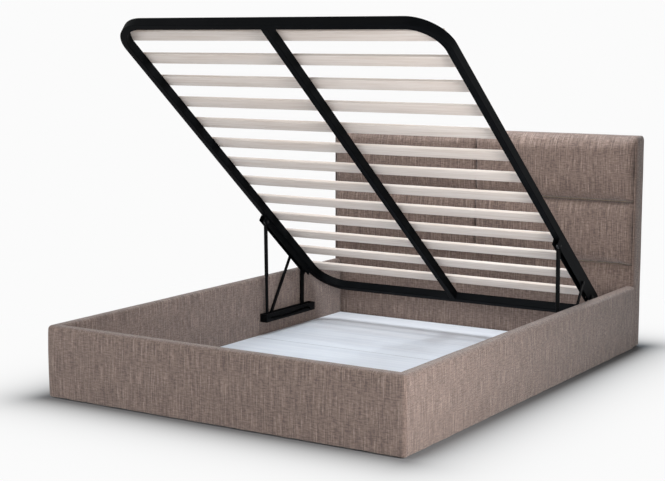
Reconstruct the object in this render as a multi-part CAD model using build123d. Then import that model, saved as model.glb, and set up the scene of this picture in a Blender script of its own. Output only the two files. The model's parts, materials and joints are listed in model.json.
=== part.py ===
from build123d import *
import os
from math import acos, atan2, cos, degrees, hypot, radians, sin

# Storage bed with a slatted lid that lifts from its foot end.
# Millimetres. X runs across the bed, +Y towards the headboard, +Z up.
# The origin is on the ground under the middle of the bed's outline.
# Every piece is drawn with the lid open, and turns and slides run from there to the closed lid.

# Overall bed
bed_width = 1650.0
storage_length = 2080.0
board_thickness = 50.0
board_top_height = 295.0
headboard_height = 984.0
headboard_depth = 90.0
headboard_side_inset = 8.0
cut_overrun = 5.0

# Upholstered boards
cover_padding = 12.0
board_crown = 3.0
board_outer_edge_radius = 20.0
board_inner_edge_radius = 14.0

# Headboard
headboard_padding = 12.0
headboard_core_depth = 44.0
headboard_cover_radius = 9.0
pad_seam_heights = (390.0, 682.0)
pad_crown = 12.0
pad_edge_set_back = 5.0
pad_top_radius = 22.0
pad_end_radius = 12.0

# Ground contact and storage floor
glide_height = 6.0
glide_diameter = 24.0
glide_edge = 1.5
glide_end_distance = 120.0
glides_along_side = 4
batten_height = 12.0
batten_width = 40.0
floor_panel_thickness = 6.0
floor_panel_joints = (540.0, 1310.0)
floor_foot_panel_span_count = 2
floor_other_panel_span_count = 3
floor_panel_gap = 0.6
floor_side_clearance = 0.8

# Joining bolts of the box
box_bolt_diameter = 7.0
box_bolt_head_diameter = 13.0
box_bolt_head_thickness = 4.0
box_bolt_reach = 60.0
box_bolt_from_core_face = 9.0
box_bolt_heights = (90.0, 220.0)

# Lid frame of rectangular steel tube
lid_side_clearance = 14.0
lid_head_clearance = 7.0
lid_foot_clearance = 11.0
tube_width = 30.0
tube_height = 40.0
tube_wall = 2.0
tube_edge_radius = 3.0
frame_corner_radius = 155.0

# Where the lid stands when open and lies when closed
lid_open_angle = 39.2
lid_open_from_headboard = 206.0
lid_open_below_top = 119.3
lid_closed_below_top = 79.4

# Solid wood slats laid across the tubes, and their screws
slat_row_count = 13
slat_head_distance = 147.0
slat_foot_distance = 115.0
slat_width = 60.0
slat_thickness = 13.0
slat_edge_radius = 2.0
slat_end_inset = 13.0
slat_screw_diameter = 4.5
slat_screw_head_diameter = 9.0
slat_screw_head_height = 2.5
slat_screw_reach = 4.0
slat_screw_end_distance = 7.0
slat_screw_offset = 15.0

# Lid bracket, an upside down channel under each side tube
bracket_start = 175.0
bracket_end = 668.0
bracket_depth = 30.0
bracket_wall = 3.0
bracket_bolt_diameter = 8.0
bracket_bolt_head_diameter = 13.0
bracket_bolt_head_thickness = 4.0
bracket_bolt_share = (0.16, 0.42, 0.68)

# Base channel, open at the top, on the inner face of each side board
channel_front_from_headboard = 722.0
channel_rear_from_headboard = 304.0
channel_below_top = 213.0
channel_height = 39.0
channel_wall = 3.0
channel_bolt_diameter = 6.0
channel_bolt_head_diameter = 11.0
channel_bolt_bite = 20.0
channel_bolt_share = (0.07, 0.42, 0.6, 0.95)

# Lanes of the links and of the struts, measured inwards from the side board's inner face
link_lane = 5.0
link_thickness = 6.0
lane_gap = 1.0
strut_lane_gap = 1.0
strut_lane_inner_gap = 2.0

# Links and pivots
base_pivot_below_top = 193.0
rear_eye_along = 202.0
rear_eye_drop = 12.5
front_eye_along = 333.0
front_eye_drop = 14.0
rear_link_width = 26.0
front_link_width = 16.0
pin_diameter = 10.0
pin_head_diameter = 16.0
pin_head_thickness = 2.7
pin_running_gap = 0.05
face_running_gap = 0.2

# Telescopic strut and its guided foot
strut_eye_along = 634.0
strut_eye_drop = 15.5
strut_open_lean = 1.0
strut_foot_open_below_top = 192.0
strut_foot_closed_below_top = 198.5
strut_closed_share = 0.66
strut_eye_diameter = 19.0
strut_eye_thickness = 11.0
shroud_diameter = 18.0
shroud_wall = 1.1
shroud_start = 12.0
shroud_end_margin = 43.0
shroud_cap = 3.0
cylinder_diameter = 15.0
cylinder_wall = 1.0
cylinder_cap = 6.0
cylinder_foot_length = 22.0
cylinder_top_margin = 8.0
rod_diameter = 8.0
piston_length = 10.0
piston_gap = 0.1
foot_stem_diameter = 10.0
foot_eye_diameter = 18.0
slot_clearance = 1.0
slot_point_count = 12

# Places worked out from the sizes above
overall_length = board_thickness + storage_length + headboard_depth
foot_face = -overall_length / 2
storage_front = foot_face + board_thickness
headboard_front = storage_front + storage_length
half_width = bed_width / 2
board_inner = half_width - board_thickness
core_outer = half_width - cover_padding
core_inner = board_inner + cover_padding
core_thickness = core_outer - core_inner
floor_top = batten_height + floor_panel_thickness
headboard_half = bed_width / 2 - headboard_side_inset
headboard_back = headboard_front + headboard_depth
headboard_core_back = headboard_back - headboard_padding
headboard_core_front = headboard_core_back - headboard_core_depth
pad_half = headboard_half - headboard_padding
lid_half = board_inner - lid_side_clearance
lid_length = storage_length - lid_head_clearance - lid_foot_clearance
link_outer = board_inner - link_lane
link_inner = link_outer - link_thickness
bracket_outer = link_inner - lane_gap
strut_lane = bracket_outer - bracket_wall - strut_lane_gap - shroud_diameter / 2
bracket_inner = strut_lane - shroud_diameter / 2 - strut_lane_inner_gap - bracket_wall
channel_inner = bracket_inner
channel_front = headboard_front - channel_front_from_headboard
channel_rear = headboard_front - channel_rear_from_headboard
channel_length = channel_rear - channel_front
channel_underside = board_top_height - channel_below_top
slat_pitch = (lid_length - slat_head_distance - slat_foot_distance) / (slat_row_count - 1)
pin_radius = pin_diameter / 2
sides = {"left": -1, "right": 1}


def block(low, high):
    """A box between two opposite corners."""
    size = [b - a for a, b in zip(low, high)]
    return Pos(*low) * Box(*size, align=(Align.MIN, Align.MIN, Align.MIN))


def rod_x(radius, x_start, x_end, y=0, z=0):
    """A round bar along X between two places."""
    bar = Cylinder(radius, x_end - x_start, align=(Align.CENTER, Align.CENTER, Align.MIN))
    return Pos(x_start, y, z) * Rot(0, 90, 0) * bar


def rod_z(radius, start, end):
    """A round bar along Z between two heights."""
    return Pos(0, 0, start) * Cylinder(radius, end - start, align=(Align.CENTER, Align.CENTER, Align.MIN))


def rod_y(radius, x, z, y_start, y_end):
    """A round bar along Y between two places."""
    bar = Cylinder(radius, y_end - y_start, align=(Align.CENTER, Align.CENTER, Align.MIN))
    return Pos(x, y_start, z) * Rot(-90, 0, 0) * bar


def on_side(shape, side):
    """A piece drawn for the right side, mirrored when it belongs to the left."""
    return shape if side > 0 else mirror(shape, about=Plane.YZ)


def save(name, pieces):
    """Writes one node from a piece or a list of pieces."""
    solids = []
    for piece in pieces if isinstance(pieces, list) else [pieces]:
        solids += piece.solids()
    export_step(solids[0] if len(solids) == 1 else Compound(children=solids), f"parts/{name}.step")


# Motion of the lid in the plane across the hinge pins
def lid_point(corner, tilt, along, rise):
    """A lid place: along from the head end towards the foot end, rise above the tube's underside."""
    turn = radians(tilt)
    y = corner[0] - along * cos(turn) + rise * sin(turn)
    z = corner[1] + along * sin(turn) + rise * cos(turn)
    return (y, z)


lid_open_corner = (headboard_front - lid_open_from_headboard, board_top_height - lid_open_below_top)
lid_closed_corner = (headboard_front - lid_head_clearance, board_top_height - lid_closed_below_top)


def eye_places(along, drop):
    """An eye of the lid bracket with the lid open, and with it closed."""
    opened = lid_point(lid_open_corner, lid_open_angle, along, -drop)
    closed = lid_point(lid_closed_corner, 0, along, -drop)
    return opened, closed


def base_pivot(opened, closed, height):
    """The place at a height that is as far from the open eye as from the closed one."""
    squares = closed[0] ** 2 + closed[1] ** 2 - opened[0] ** 2 - opened[1] ** 2
    y = (squares - 2 * height * (closed[1] - opened[1])) / (2 * (closed[0] - opened[0]))
    return (y, height)


def heading(start, end):
    """The angle in degrees from +Y towards +Z of the line between two places."""
    return degrees(atan2(end[1] - start[1], end[0] - start[0]))


rear_eye_open, rear_eye_closed = eye_places(rear_eye_along, rear_eye_drop)
front_eye_open, front_eye_closed = eye_places(front_eye_along, front_eye_drop)
strut_eye_open, strut_eye_closed = eye_places(strut_eye_along, strut_eye_drop)
base_pivot_height = board_top_height - base_pivot_below_top
rear_pivot = base_pivot(rear_eye_open, rear_eye_closed, base_pivot_height)
front_pivot = base_pivot(front_eye_open, front_eye_closed, base_pivot_height)
rear_link_length = hypot(rear_eye_open[0] - rear_pivot[0], rear_eye_open[1] - rear_pivot[1])
front_link_length = hypot(front_eye_open[0] - front_pivot[0], front_eye_open[1] - front_pivot[1])
rear_open_heading = heading(rear_pivot, rear_eye_open)
rear_closed_heading = heading(rear_pivot, rear_eye_closed)
front_open_heading = heading(front_pivot, front_eye_open)
front_closed_heading = heading(front_pivot, front_eye_closed)

strut_foot_open_height = board_top_height - strut_foot_open_below_top
strut_foot_closed_height = board_top_height - strut_foot_closed_below_top
strut_open_length = (strut_eye_open[1] - strut_foot_open_height) / cos(radians(strut_open_lean))
strut_closed_length = strut_closed_share * strut_open_length
strut_closed_lean = degrees(acos((strut_eye_closed[1] - strut_foot_closed_height) / strut_closed_length))
strut_travel = strut_open_length - strut_closed_length


def mechanism_at(closing_share):
    """Lid corner, lid tilt and strut foot when the lid has closed by a share of its way."""
    rear_heading = rear_open_heading + closing_share * (rear_closed_heading - rear_open_heading)
    tilt = lid_open_angle * (1 - closing_share)
    eye_y = rear_pivot[0] + rear_link_length * cos(radians(rear_heading))
    eye_z = rear_pivot[1] + rear_link_length * sin(radians(rear_heading))
    offset = lid_point((0, 0), tilt, rear_eye_along, -rear_eye_drop)
    corner = (eye_y - offset[0], eye_z - offset[1])
    top = lid_point(corner, tilt, strut_eye_along, -strut_eye_drop)
    lean = radians(strut_open_lean + closing_share * (strut_closed_lean - strut_open_lean))
    reach = strut_open_length - closing_share * strut_travel
    foot = (top[0] + reach * sin(lean), top[1] - reach * cos(lean))
    return corner, tilt, foot


# Boards of the box
def board_profile(height):
    """Section of an upholstered board: outer face at zero, crowned, with rounded top edges."""
    outer_bottom = (board_crown, 0)
    outer_top = (board_crown, height)
    straight = Polyline(outer_top, (board_thickness, height), (board_thickness, 0), outer_bottom)
    outer_face = ThreePointArc(outer_bottom, (0, height / 2), outer_top)
    face = make_face(Curve() + [straight, outer_face])
    face = fillet(face.vertices().group_by(Axis.Y)[-1].sort_by(Axis.X)[-1], board_inner_edge_radius)
    outer_corner = [v for v in face.vertices() if v.X < board_thickness / 2 and v.Y > height / 2]
    return fillet(outer_corner, board_outer_edge_radius)


board_cover_height = board_top_height - glide_height
board_core_top = board_top_height - cover_padding


def side_board_core():
    """Chipboard core of the right side board, from the foot core to the headboard."""
    low = (core_inner, foot_face + cover_padding + core_thickness, glide_height)
    return block(low, (core_outer, headboard_front, board_core_top))


def foot_board_core():
    """Chipboard core of the foot board, over the full width inside the padding."""
    low = (-core_outer, foot_face + cover_padding, glide_height)
    return block(low, (core_outer, foot_face + cover_padding + core_thickness, board_core_top))


def side_board_cover():
    """Padded fabric cover of the right side board, mitred where it meets the foot board."""
    length = headboard_front - foot_face
    profile = Plane((half_width, foot_face, glide_height), x_dir=(-1, 0, 0), z_dir=(0, 1, 0))
    cover = extrude(profile * board_profile(board_cover_height), length)
    mitre = make_face(Polyline(
        (half_width + cut_overrun, foot_face - cut_overrun),
        (board_inner - cut_overrun, storage_front + cut_overrun),
        (board_inner - cut_overrun, foot_face - cut_overrun),
        close=True))
    return cover - extrude(mitre, board_top_height + cut_overrun)


def foot_board_cover():
    """Padded fabric cover of the foot board, mitred at both ends."""
    profile = Plane((-half_width, foot_face, glide_height), x_dir=(0, 1, 0), z_dir=(1, 0, 0))
    cover = extrude(profile * board_profile(board_cover_height), bed_width)
    mitre = make_face(Polyline(
        (half_width + cut_overrun, foot_face - cut_overrun),
        (half_width + cut_overrun, storage_front + cut_overrun),
        (board_inner - cut_overrun, storage_front + cut_overrun),
        close=True))
    wedge = extrude(mitre, board_top_height + cut_overrun)
    return cover - wedge - mirror(wedge, about=Plane.YZ)


def box_bolt_places():
    """X, start Y, end Y and height of the bolts that join the cores at the four corners."""
    places = []
    foot_start = foot_face + cover_padding
    foot_end = foot_start + core_thickness + box_bolt_reach
    for side in sides.values():
        across = side * (core_inner + box_bolt_from_core_face)
        for height in box_bolt_heights:
            places.append((across, foot_start, foot_end, height))
            places.append((across, headboard_core_back, headboard_front - box_bolt_reach, height))
    return places


def box_bolts():
    """Bolts with flat heads sunk in the foot board's and the headboard's cores."""
    bolts = []
    for x, start, end, height in box_bolt_places():
        towards = 1 if end > start else -1
        neck = start + towards * box_bolt_head_thickness
        head = rod_y(box_bolt_head_diameter / 2, x, height, min(start, neck), max(start, neck))
        shank = rod_y(box_bolt_diameter / 2, x, height, min(neck, end), max(neck, end))
        bolts.append(head + shank)
    return bolts


# Headboard
def headboard_core():
    """Chipboard panel that the headboard is upholstered on."""
    low = (-pad_half, headboard_core_front, glide_height)
    return block(low, (pad_half, headboard_core_back, headboard_height - headboard_padding))


def headboard_cover():
    """Cover of the sides, top and back, open at the front for the pads."""
    shell = block((-headboard_half, headboard_front, glide_height),
                  (headboard_half, headboard_back, headboard_height))
    rounded = shell.edges().filter_by(Axis.Z) + shell.edges().filter_by(Axis.X).group_by(Axis.Z)[-1]
    rounded += shell.edges().filter_by(Axis.Y).group_by(Axis.Z)[-1]
    shell = fillet(rounded, headboard_cover_radius)
    recess = block((-pad_half, headboard_front - cut_overrun, glide_height - cut_overrun),
                   (pad_half, headboard_core_front, headboard_height + cut_overrun))
    return shell - recess - headboard_core()


def headboard_pad(x_start, x_end, z_start, z_end, is_top):
    """One stuffed panel, crowned towards the sleeper and drawn in along its seams."""
    back = headboard_core_front
    edge = headboard_front + pad_edge_set_back
    crest = headboard_front - pad_crown
    middle = (z_start + z_end) / 2
    section = Plane((x_start, 0, 0), x_dir=(0, 1, 0), z_dir=(1, 0, 0))
    straight = Polyline((edge, z_end), (back, z_end), (back, z_start), (edge, z_start))
    face = make_face(Curve() + [straight, ThreePointArc((edge, z_start), (crest, middle), (edge, z_end))])
    if is_top:
        front_top = [v for v in face.vertices() if v.X < headboard_core_front and v.Y > middle]
        face = fillet(front_top, pad_top_radius)
    pad = extrude(section * face, x_end - x_start)
    front_ends = pad.edges().filter_by(GeomType.CIRCLE).sort_by(SortBy.RADIUS)[-2:]
    return fillet(front_ends, pad_end_radius)


def headboard_lower_pad():
    """Flat padded panel behind the mattress, between the ground and the first seam."""
    low = (-pad_half, headboard_front, glide_height)
    return block(low, (pad_half, headboard_core_front, pad_seam_heights[0]))


# Storage floor
def glides():
    """Plastic glides under the cores of the four boards."""
    spots = []
    side_x = (core_inner + core_outer) / 2
    first = foot_face + glide_end_distance
    step = (headboard_front - glide_end_distance - first) / (glides_along_side - 1)
    for side in sides.values():
        for index in range(glides_along_side):
            spots.append((side * side_x, first + index * step))
    across = core_inner - glide_end_distance
    for place in (-across, -across / 3, across / 3, across):
        spots.append((place, foot_face + cover_padding + core_thickness / 2))
        spots.append((place, (headboard_core_front + headboard_core_back) / 2))
    glide = chamfer(rod_z(glide_diameter / 2, 0, glide_height).edges().group_by(Axis.Z)[0], glide_edge)
    return [Pos(x, y, 0) * glide for x, y in spots]


floor_panel_edges = [storage_front]
for joint in floor_panel_joints:
    floor_panel_edges.append(storage_front + joint)
floor_panel_edges.append(headboard_front)


def floor_battens():
    """Cross battens at both ends, under each joint of the floor panels and between the joints."""
    centres = [storage_front]
    panel_spans = (floor_foot_panel_span_count, floor_other_panel_span_count, floor_other_panel_span_count)
    for start, end, spans in zip(floor_panel_edges, floor_panel_edges[1:], panel_spans):
        centres += [start + (index + 1) * (end - start) / spans for index in range(spans)]
    battens = []
    for centre in centres:
        start = max(storage_front, centre - batten_width / 2)
        end = min(headboard_front, centre + batten_width / 2)
        battens.append(block((-board_inner, start, 0), (board_inner, end, batten_height)))
    return battens


def floor_panels():
    """Pale panels that lie on the battens, in order from the foot end."""
    half = board_inner - floor_side_clearance
    edge = floor_panel_gap / 2
    panels = []
    for start, end in zip(floor_panel_edges, floor_panel_edges[1:]):
        panels.append(block((-half, start + edge, batten_height), (half, end - edge, floor_top)))
    return panels


# Base channel and what is fixed in it
def strut_slot():
    """The curved slot that guides the strut's foot pin, cut through the channel's inner flange."""
    half = pin_radius + slot_clearance
    path = [mechanism_at(index / slot_point_count)[2] for index in range(slot_point_count + 1)]
    upper = [(y, z + half) for y, z in path]
    lower = [(y, z - half) for y, z in path]
    first, last = path[0], path[-1]
    front_end = ThreePointArc(lower[0], (first[0] - half, first[1]), upper[0])
    rear_end = ThreePointArc(upper[-1], (last[0] + half, last[1]), lower[-1])
    face = make_face(Curve() + [Spline(upper), rear_end, Spline(lower[::-1]), front_end])
    plane = Plane((channel_inner - cut_overrun, 0, 0), x_dir=(0, 1, 0), z_dir=(1, 0, 0))
    return extrude(plane * face, channel_wall + 2 * cut_overrun)


def channel_bolt_places():
    """Y places of the screws that hold a base channel to its side board."""
    return [channel_front + share * channel_length for share in channel_bolt_share]


channel_bolt_height = channel_underside + channel_height / 2
channel_screw_end = core_inner + channel_bolt_bite


def channel_screw(y):
    """A countersunk screw, flush with the channel's outer flange."""
    flange_face = board_inner - channel_wall
    head_radius = channel_bolt_head_diameter / 2
    shank_radius = channel_bolt_diameter / 2
    head = Cone(head_radius, shank_radius, channel_wall, align=(Align.CENTER, Align.CENTER, Align.MIN))
    head = Pos(flange_face, y, channel_bolt_height) * Rot(0, 90, 0) * head
    return head + rod_x(shank_radius, board_inner, channel_screw_end, y, channel_bolt_height)


def channel_screws():
    """The screws of one channel."""
    return [channel_screw(y) for y in channel_bolt_places()]


def screw_holes():
    """Round holes for the channel's screws through the cover and into the core."""
    radius = channel_bolt_diameter / 2
    return [rod_x(radius, board_inner, channel_screw_end, y, channel_bolt_height) for y in channel_bolt_places()]


def base_channel():
    """Steel channel with closed ends on the right side board's inner face."""
    top = channel_underside + channel_height
    body = block((channel_inner, channel_front, channel_underside), (board_inner, channel_rear, top))
    hollow = block((channel_inner + channel_wall, channel_front + channel_wall, channel_underside + channel_wall),
                   (board_inner - channel_wall, channel_rear - channel_wall, top + cut_overrun))
    body = body - hollow - strut_slot()
    for screw in channel_screws():
        body -= screw
    for y, z in (rear_pivot, front_pivot):
        body -= rod_x(pin_radius, board_inner - channel_wall, board_inner, y, z)
    return body


def base_pin(y, z):
    """Shouldered pin that a link turns on, fixed in the channel's outer flange."""
    head_start = link_inner - face_running_gap - pin_head_thickness
    head = rod_x(pin_head_diameter / 2, head_start, link_inner - face_running_gap, y, z)
    shank = rod_x(pin_radius, link_inner - face_running_gap, board_inner, y, z)
    shoulder = rod_x(pin_head_diameter / 2, link_outer + face_running_gap, board_inner - channel_wall, y, z)
    return head + shank + shoulder


# Links
def flat_link(start, end, width):
    """Flat bar with round ends and a hole at each end, in the link lane."""
    length = hypot(end[0] - start[0], end[1] - start[1])
    face = SlotCenterToCenter(length, width)
    for place in (-length / 2, length / 2):
        face -= Pos(place, 0) * Circle(pin_radius + pin_running_gap)
    middle = ((start[0] + end[0]) / 2, (start[1] + end[1]) / 2)
    plane = Plane((link_inner, middle[0], middle[1]), x_dir=(0, 1, 0), z_dir=(1, 0, 0))
    return extrude(plane * Rot(0, 0, heading(start, end)) * face, link_thickness)


def front_link_rivet():
    """Rivet in the front link's upper eye, which runs against the bracket's outer flange."""
    y, z = front_eye_open
    head_radius = pin_head_diameter / 2
    shank = rod_x(pin_radius, link_inner - lane_gap / 2, link_outer, y, z)
    return shank + rod_x(head_radius, link_outer, link_outer + pin_head_thickness, y, z)


# Lid, drawn flat with the head end at zero and the foot end towards -Y
def tube_face():
    """Section of the rectangular tube, standing on its underside."""
    outer = RectangleRounded(tube_width, tube_height, tube_edge_radius)
    inner = Rectangle(tube_width - 2 * tube_wall, tube_height - 2 * tube_wall)
    return Pos(0, tube_height / 2) * (outer - inner)


lid_corner_x = lid_half - frame_corner_radius
bend_radius = frame_corner_radius - tube_width / 2


def tube_along_y(x, start, end):
    """A straight tube along the bed."""
    plane = Plane((x, start, 0), x_dir=(-1, 0, 0), z_dir=(0, 1, 0))
    return extrude(plane * tube_face(), end - start)


def tube_along_x(y, start, end):
    """A straight tube across the bed."""
    plane = Plane((start, y, 0), x_dir=(0, 1, 0), z_dir=(1, 0, 0))
    return extrude(plane * tube_face(), end - start)


def tube_bend(towards_foot):
    """A quarter bend at the right side, at the head end or at the foot end."""
    centre_y = -lid_length + frame_corner_radius if towards_foot else -frame_corner_radius
    plane = Plane((lid_corner_x + bend_radius, centre_y, 0), x_dir=(-1, 0, 0), z_dir=(0, 1, 0))
    axis = Axis((lid_corner_x, centre_y, 0), (0, 0, -1 if towards_foot else 1))
    return revolve(plane * tube_face(), axis, 90)


def outline_half(along):
    """Half the lid's width at a place along it, less in the rounded corners."""
    into_corner = frame_corner_radius - min(along, lid_length - along)
    if into_corner <= 0:
        return lid_half
    return lid_corner_x + (frame_corner_radius ** 2 - into_corner ** 2) ** 0.5


def slat_half(along):
    """Half the length of a slat, which ends over the tube, clear of the lid's outline."""
    edges = (along - slat_width / 2, along + slat_width / 2)
    return min(outline_half(edge) for edge in edges) - slat_end_inset


def slat(along):
    """A straight slat with rounded edges that lies across the lid."""
    half = slat_half(along)
    plane = Plane((-half, -along, tube_height + slat_thickness / 2), x_dir=(0, 1, 0), z_dir=(1, 0, 0))
    return extrude(plane * RectangleRounded(slat_width, slat_thickness, slat_edge_radius), 2 * half)


def slat_screw(x, along):
    """A countersunk screw through a slat and the upper wall of a tube."""
    top = tube_height + slat_thickness
    neck = top - slat_screw_head_height
    head_radius = slat_screw_head_diameter / 2
    shank_radius = slat_screw_diameter / 2
    head = Cone(shank_radius, head_radius, slat_screw_head_height, align=(Align.CENTER, Align.CENTER, Align.MIN))
    shank = rod_z(shank_radius, tube_height - tube_wall - slat_screw_reach, neck)
    return Pos(x, -along, 0) * (Pos(0, 0, neck) * head + shank)


def row_screws(along):
    """The screws of a slat: left, middle and right, on the side towards the nearer end of the lid."""
    offset = slat_screw_offset if along > lid_length / 2 else -slat_screw_offset
    across = slat_half(along) - slat_screw_end_distance
    return [slat_screw(x, along + offset) for x in (-across, 0, across)]


slat_places = [slat_head_distance + index * slat_pitch for index in range(slat_row_count)]


def bracket_bolt_places():
    """Places along the lid of the bolts that hold a bracket to its tube."""
    length = bracket_end - bracket_start
    return [bracket_start + share * length for share in bracket_bolt_share]


def lid_bracket():
    """Channel under the right side tube, with the holes for its two pins."""
    body = block((bracket_inner, -bracket_end, -bracket_depth), (bracket_outer, -bracket_start, 0))
    body -= block((bracket_inner + bracket_wall, -bracket_end - cut_overrun, -bracket_depth - cut_overrun),
                  (bracket_outer - bracket_wall, -bracket_start + cut_overrun, -bracket_wall))
    for along, drop in ((rear_eye_along, rear_eye_drop), (strut_eye_along, strut_eye_drop)):
        body -= rod_x(pin_radius, bracket_inner - cut_overrun, bracket_outer + cut_overrun, -along, -drop)
    for along in bracket_bolt_places():
        body -= Pos(strut_lane, -along, 0) * rod_z(bracket_bolt_diameter / 2, -bracket_wall, 0)
    return body


def bracket_bolt(along):
    """Bolt through the bracket's web into the tube's lower wall."""
    head = rod_z(bracket_bolt_head_diameter / 2, -bracket_wall - bracket_bolt_head_thickness, -bracket_wall)
    shank = rod_z(bracket_bolt_diameter / 2, -bracket_wall, tube_wall + bracket_bolt_head_thickness)
    return Pos(strut_lane, -along, 0) * (head + shank)


def bolted_tube(tube):
    """The right side tube with the holes of the bracket's bolts in its lower wall."""
    for along in bracket_bolt_places():
        tube -= Pos(strut_lane, -along, 0) * rod_z(bracket_bolt_diameter / 2, -cut_overrun, tube_height / 2)
    return tube


def rear_eye_pin():
    """Pin through the bracket's outer flange and the rear link's upper eye."""
    y, z = -rear_eye_along, -rear_eye_drop
    flange = bracket_outer - bracket_wall
    head_radius = pin_head_diameter / 2
    head = rod_x(head_radius, flange - pin_head_thickness, flange, y, z)
    shank = rod_x(pin_radius, flange, link_outer + face_running_gap, y, z)
    cap_start = link_outer + face_running_gap
    return head + shank + rod_x(head_radius, cap_start, cap_start + pin_head_thickness, y, z)


def strut_eye_pin():
    """Pin across the bracket that the strut hangs on."""
    y, z = -strut_eye_along, -strut_eye_drop
    head = rod_x(pin_head_diameter / 2, bracket_inner - pin_head_thickness, bracket_inner, y, z)
    return head + rod_x(pin_radius, bracket_inner, bracket_outer, y, z)


lid_placement = Location((0, *lid_open_corner), (-lid_open_angle, 0, 0))


def save_lid(name, pieces):
    """Writes a lid node in its open place."""
    save(name, [lid_placement * piece for piece in pieces])


# Strut, drawn with its upper eye at zero and its foot towards +Z
shroud_end = strut_closed_length - shroud_end_margin
cylinder_start = strut_open_length - strut_closed_length + shroud_start + cylinder_top_margin
cylinder_end = strut_open_length - cylinder_foot_length
bore_radius = cylinder_diameter / 2 - cylinder_wall
piston_end = cylinder_start + cylinder_cap + piston_length + cylinder_top_margin


def strut_rod():
    """Upper eye, rod and piston of the strut."""
    half = strut_eye_thickness / 2
    eye = rod_x(strut_eye_diameter / 2, -half, half)
    rod = rod_z(rod_diameter / 2, 0, piston_end)
    piston = rod_z(bore_radius - piston_gap, piston_end - piston_length, piston_end)
    return eye + rod + piston - rod_x(pin_radius + pin_running_gap, -half, half)


def strut_shroud():
    """Tube that covers the rod, closed by a cap round the rod at its top."""
    outer = rod_z(shroud_diameter / 2, shroud_start, shroud_end)
    bore = rod_z(shroud_diameter / 2 - shroud_wall, shroud_start + shroud_cap, shroud_end + cut_overrun)
    return outer - bore - rod_z(rod_diameter / 2, shroud_start - cut_overrun, shroud_end)


def strut_cylinder():
    """Pressure tube with its rod guide, and the foot eye below it."""
    half = strut_eye_thickness / 2
    tube = rod_z(cylinder_diameter / 2, cylinder_start, cylinder_end)
    bore = rod_z(bore_radius, cylinder_start + cylinder_cap, cylinder_end - cylinder_cap)
    guide = rod_z(rod_diameter / 2 + pin_running_gap, cylinder_start - cut_overrun, cylinder_end - cylinder_cap)
    stem = rod_z(foot_stem_diameter / 2, cylinder_end - cylinder_cap, strut_open_length)
    eye = rod_x(foot_eye_diameter / 2, -half, half, z=strut_open_length)
    return (tube - bore - guide) + stem + eye - rod_x(pin_radius, -half, half, z=strut_open_length)


def strut_foot_pin():
    """Pin of the strut's foot, with its head outside the slotted flange."""
    eye_face = strut_eye_thickness / 2
    head_end = channel_inner - face_running_gap - strut_lane
    head = rod_x(pin_head_diameter / 2, head_end - pin_head_thickness, head_end, z=strut_open_length)
    return head + rod_x(pin_radius, head_end, eye_face + face_running_gap, z=strut_open_length)


strut_placement = Location((strut_lane, *strut_eye_open), (180 + strut_open_lean, 0, 0))


def write_box():
    """Boards, headboard, floor and their fasteners."""
    foot_core = foot_board_core()
    side_core = side_board_core()
    holes = screw_holes()
    bolts = box_bolts()
    side_cover = side_board_cover() - side_core - foot_core
    for hole in holes:
        side_core -= hole
        side_cover -= hole
    foot_cover = foot_board_cover() - foot_core - side_core - mirror(side_core, about=Plane.YZ)
    head_core = headboard_core()
    lower_pad = headboard_lower_pad()
    for bolt in bolts:
        foot_core -= bolt
        head_core -= bolt
        lower_pad -= bolt
        side_core -= bolt
    save("foot_board_core", foot_core)
    save("foot_board_cover", foot_cover)
    for name, side in sides.items():
        save(f"side_board_core_{name}", on_side(side_core, side))
        save(f"side_board_cover_{name}", on_side(side_cover, side))
    save("headboard_core", head_core)
    save("headboard_cover", headboard_cover())
    lower_seam, upper_seam = pad_seam_heights
    for row, start, end in (("middle", lower_seam, upper_seam), ("top", upper_seam, headboard_height)):
        pad = headboard_pad(0, pad_half, start, end, row == "top")
        for name, side in sides.items():
            save(f"headboard_pad_{row}_{name}", on_side(pad, side))
    save("headboard_pad_lower", lower_pad)
    save("box_corner_bolts", bolts)
    save("floor_glides", glides())
    save("floor_battens", floor_battens())
    for name, panel in zip(("foot", "middle", "head"), floor_panels()):
        save(f"storage_floor_panel_{name}", panel)


def write_mechanism():
    """Base channels, links, struts and the pins between them."""
    screws = channel_screws()
    pins = [base_pin(*rear_pivot), base_pin(*front_pivot)]
    save("base_channel_screws", [on_side(piece, side) for side in sides.values() for piece in screws])
    save("base_pivot_pins", [on_side(piece, side) for side in sides.values() for piece in pins])
    channel = base_channel()
    rear = flat_link(rear_pivot, rear_eye_open, rear_link_width)
    front = flat_link(front_pivot, front_eye_open, front_link_width)
    rivet = front_link_rivet()
    rod = strut_placement * strut_rod()
    shroud = strut_placement * strut_shroud()
    cylinder = [strut_placement * strut_cylinder(), strut_placement * strut_foot_pin()]
    for name, side in sides.items():
        save(f"base_channel_{name}", on_side(channel, side))
        save(f"rear_link_{name}", on_side(rear, side))
        save(f"front_link_{name}", [on_side(front, side), on_side(rivet, side)])
        save(f"strut_rod_{name}", on_side(rod, side))
        save(f"strut_shroud_{name}", on_side(shroud, side))
        save(f"strut_cylinder_{name}", [on_side(piece, side) for piece in cylinder])


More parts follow.
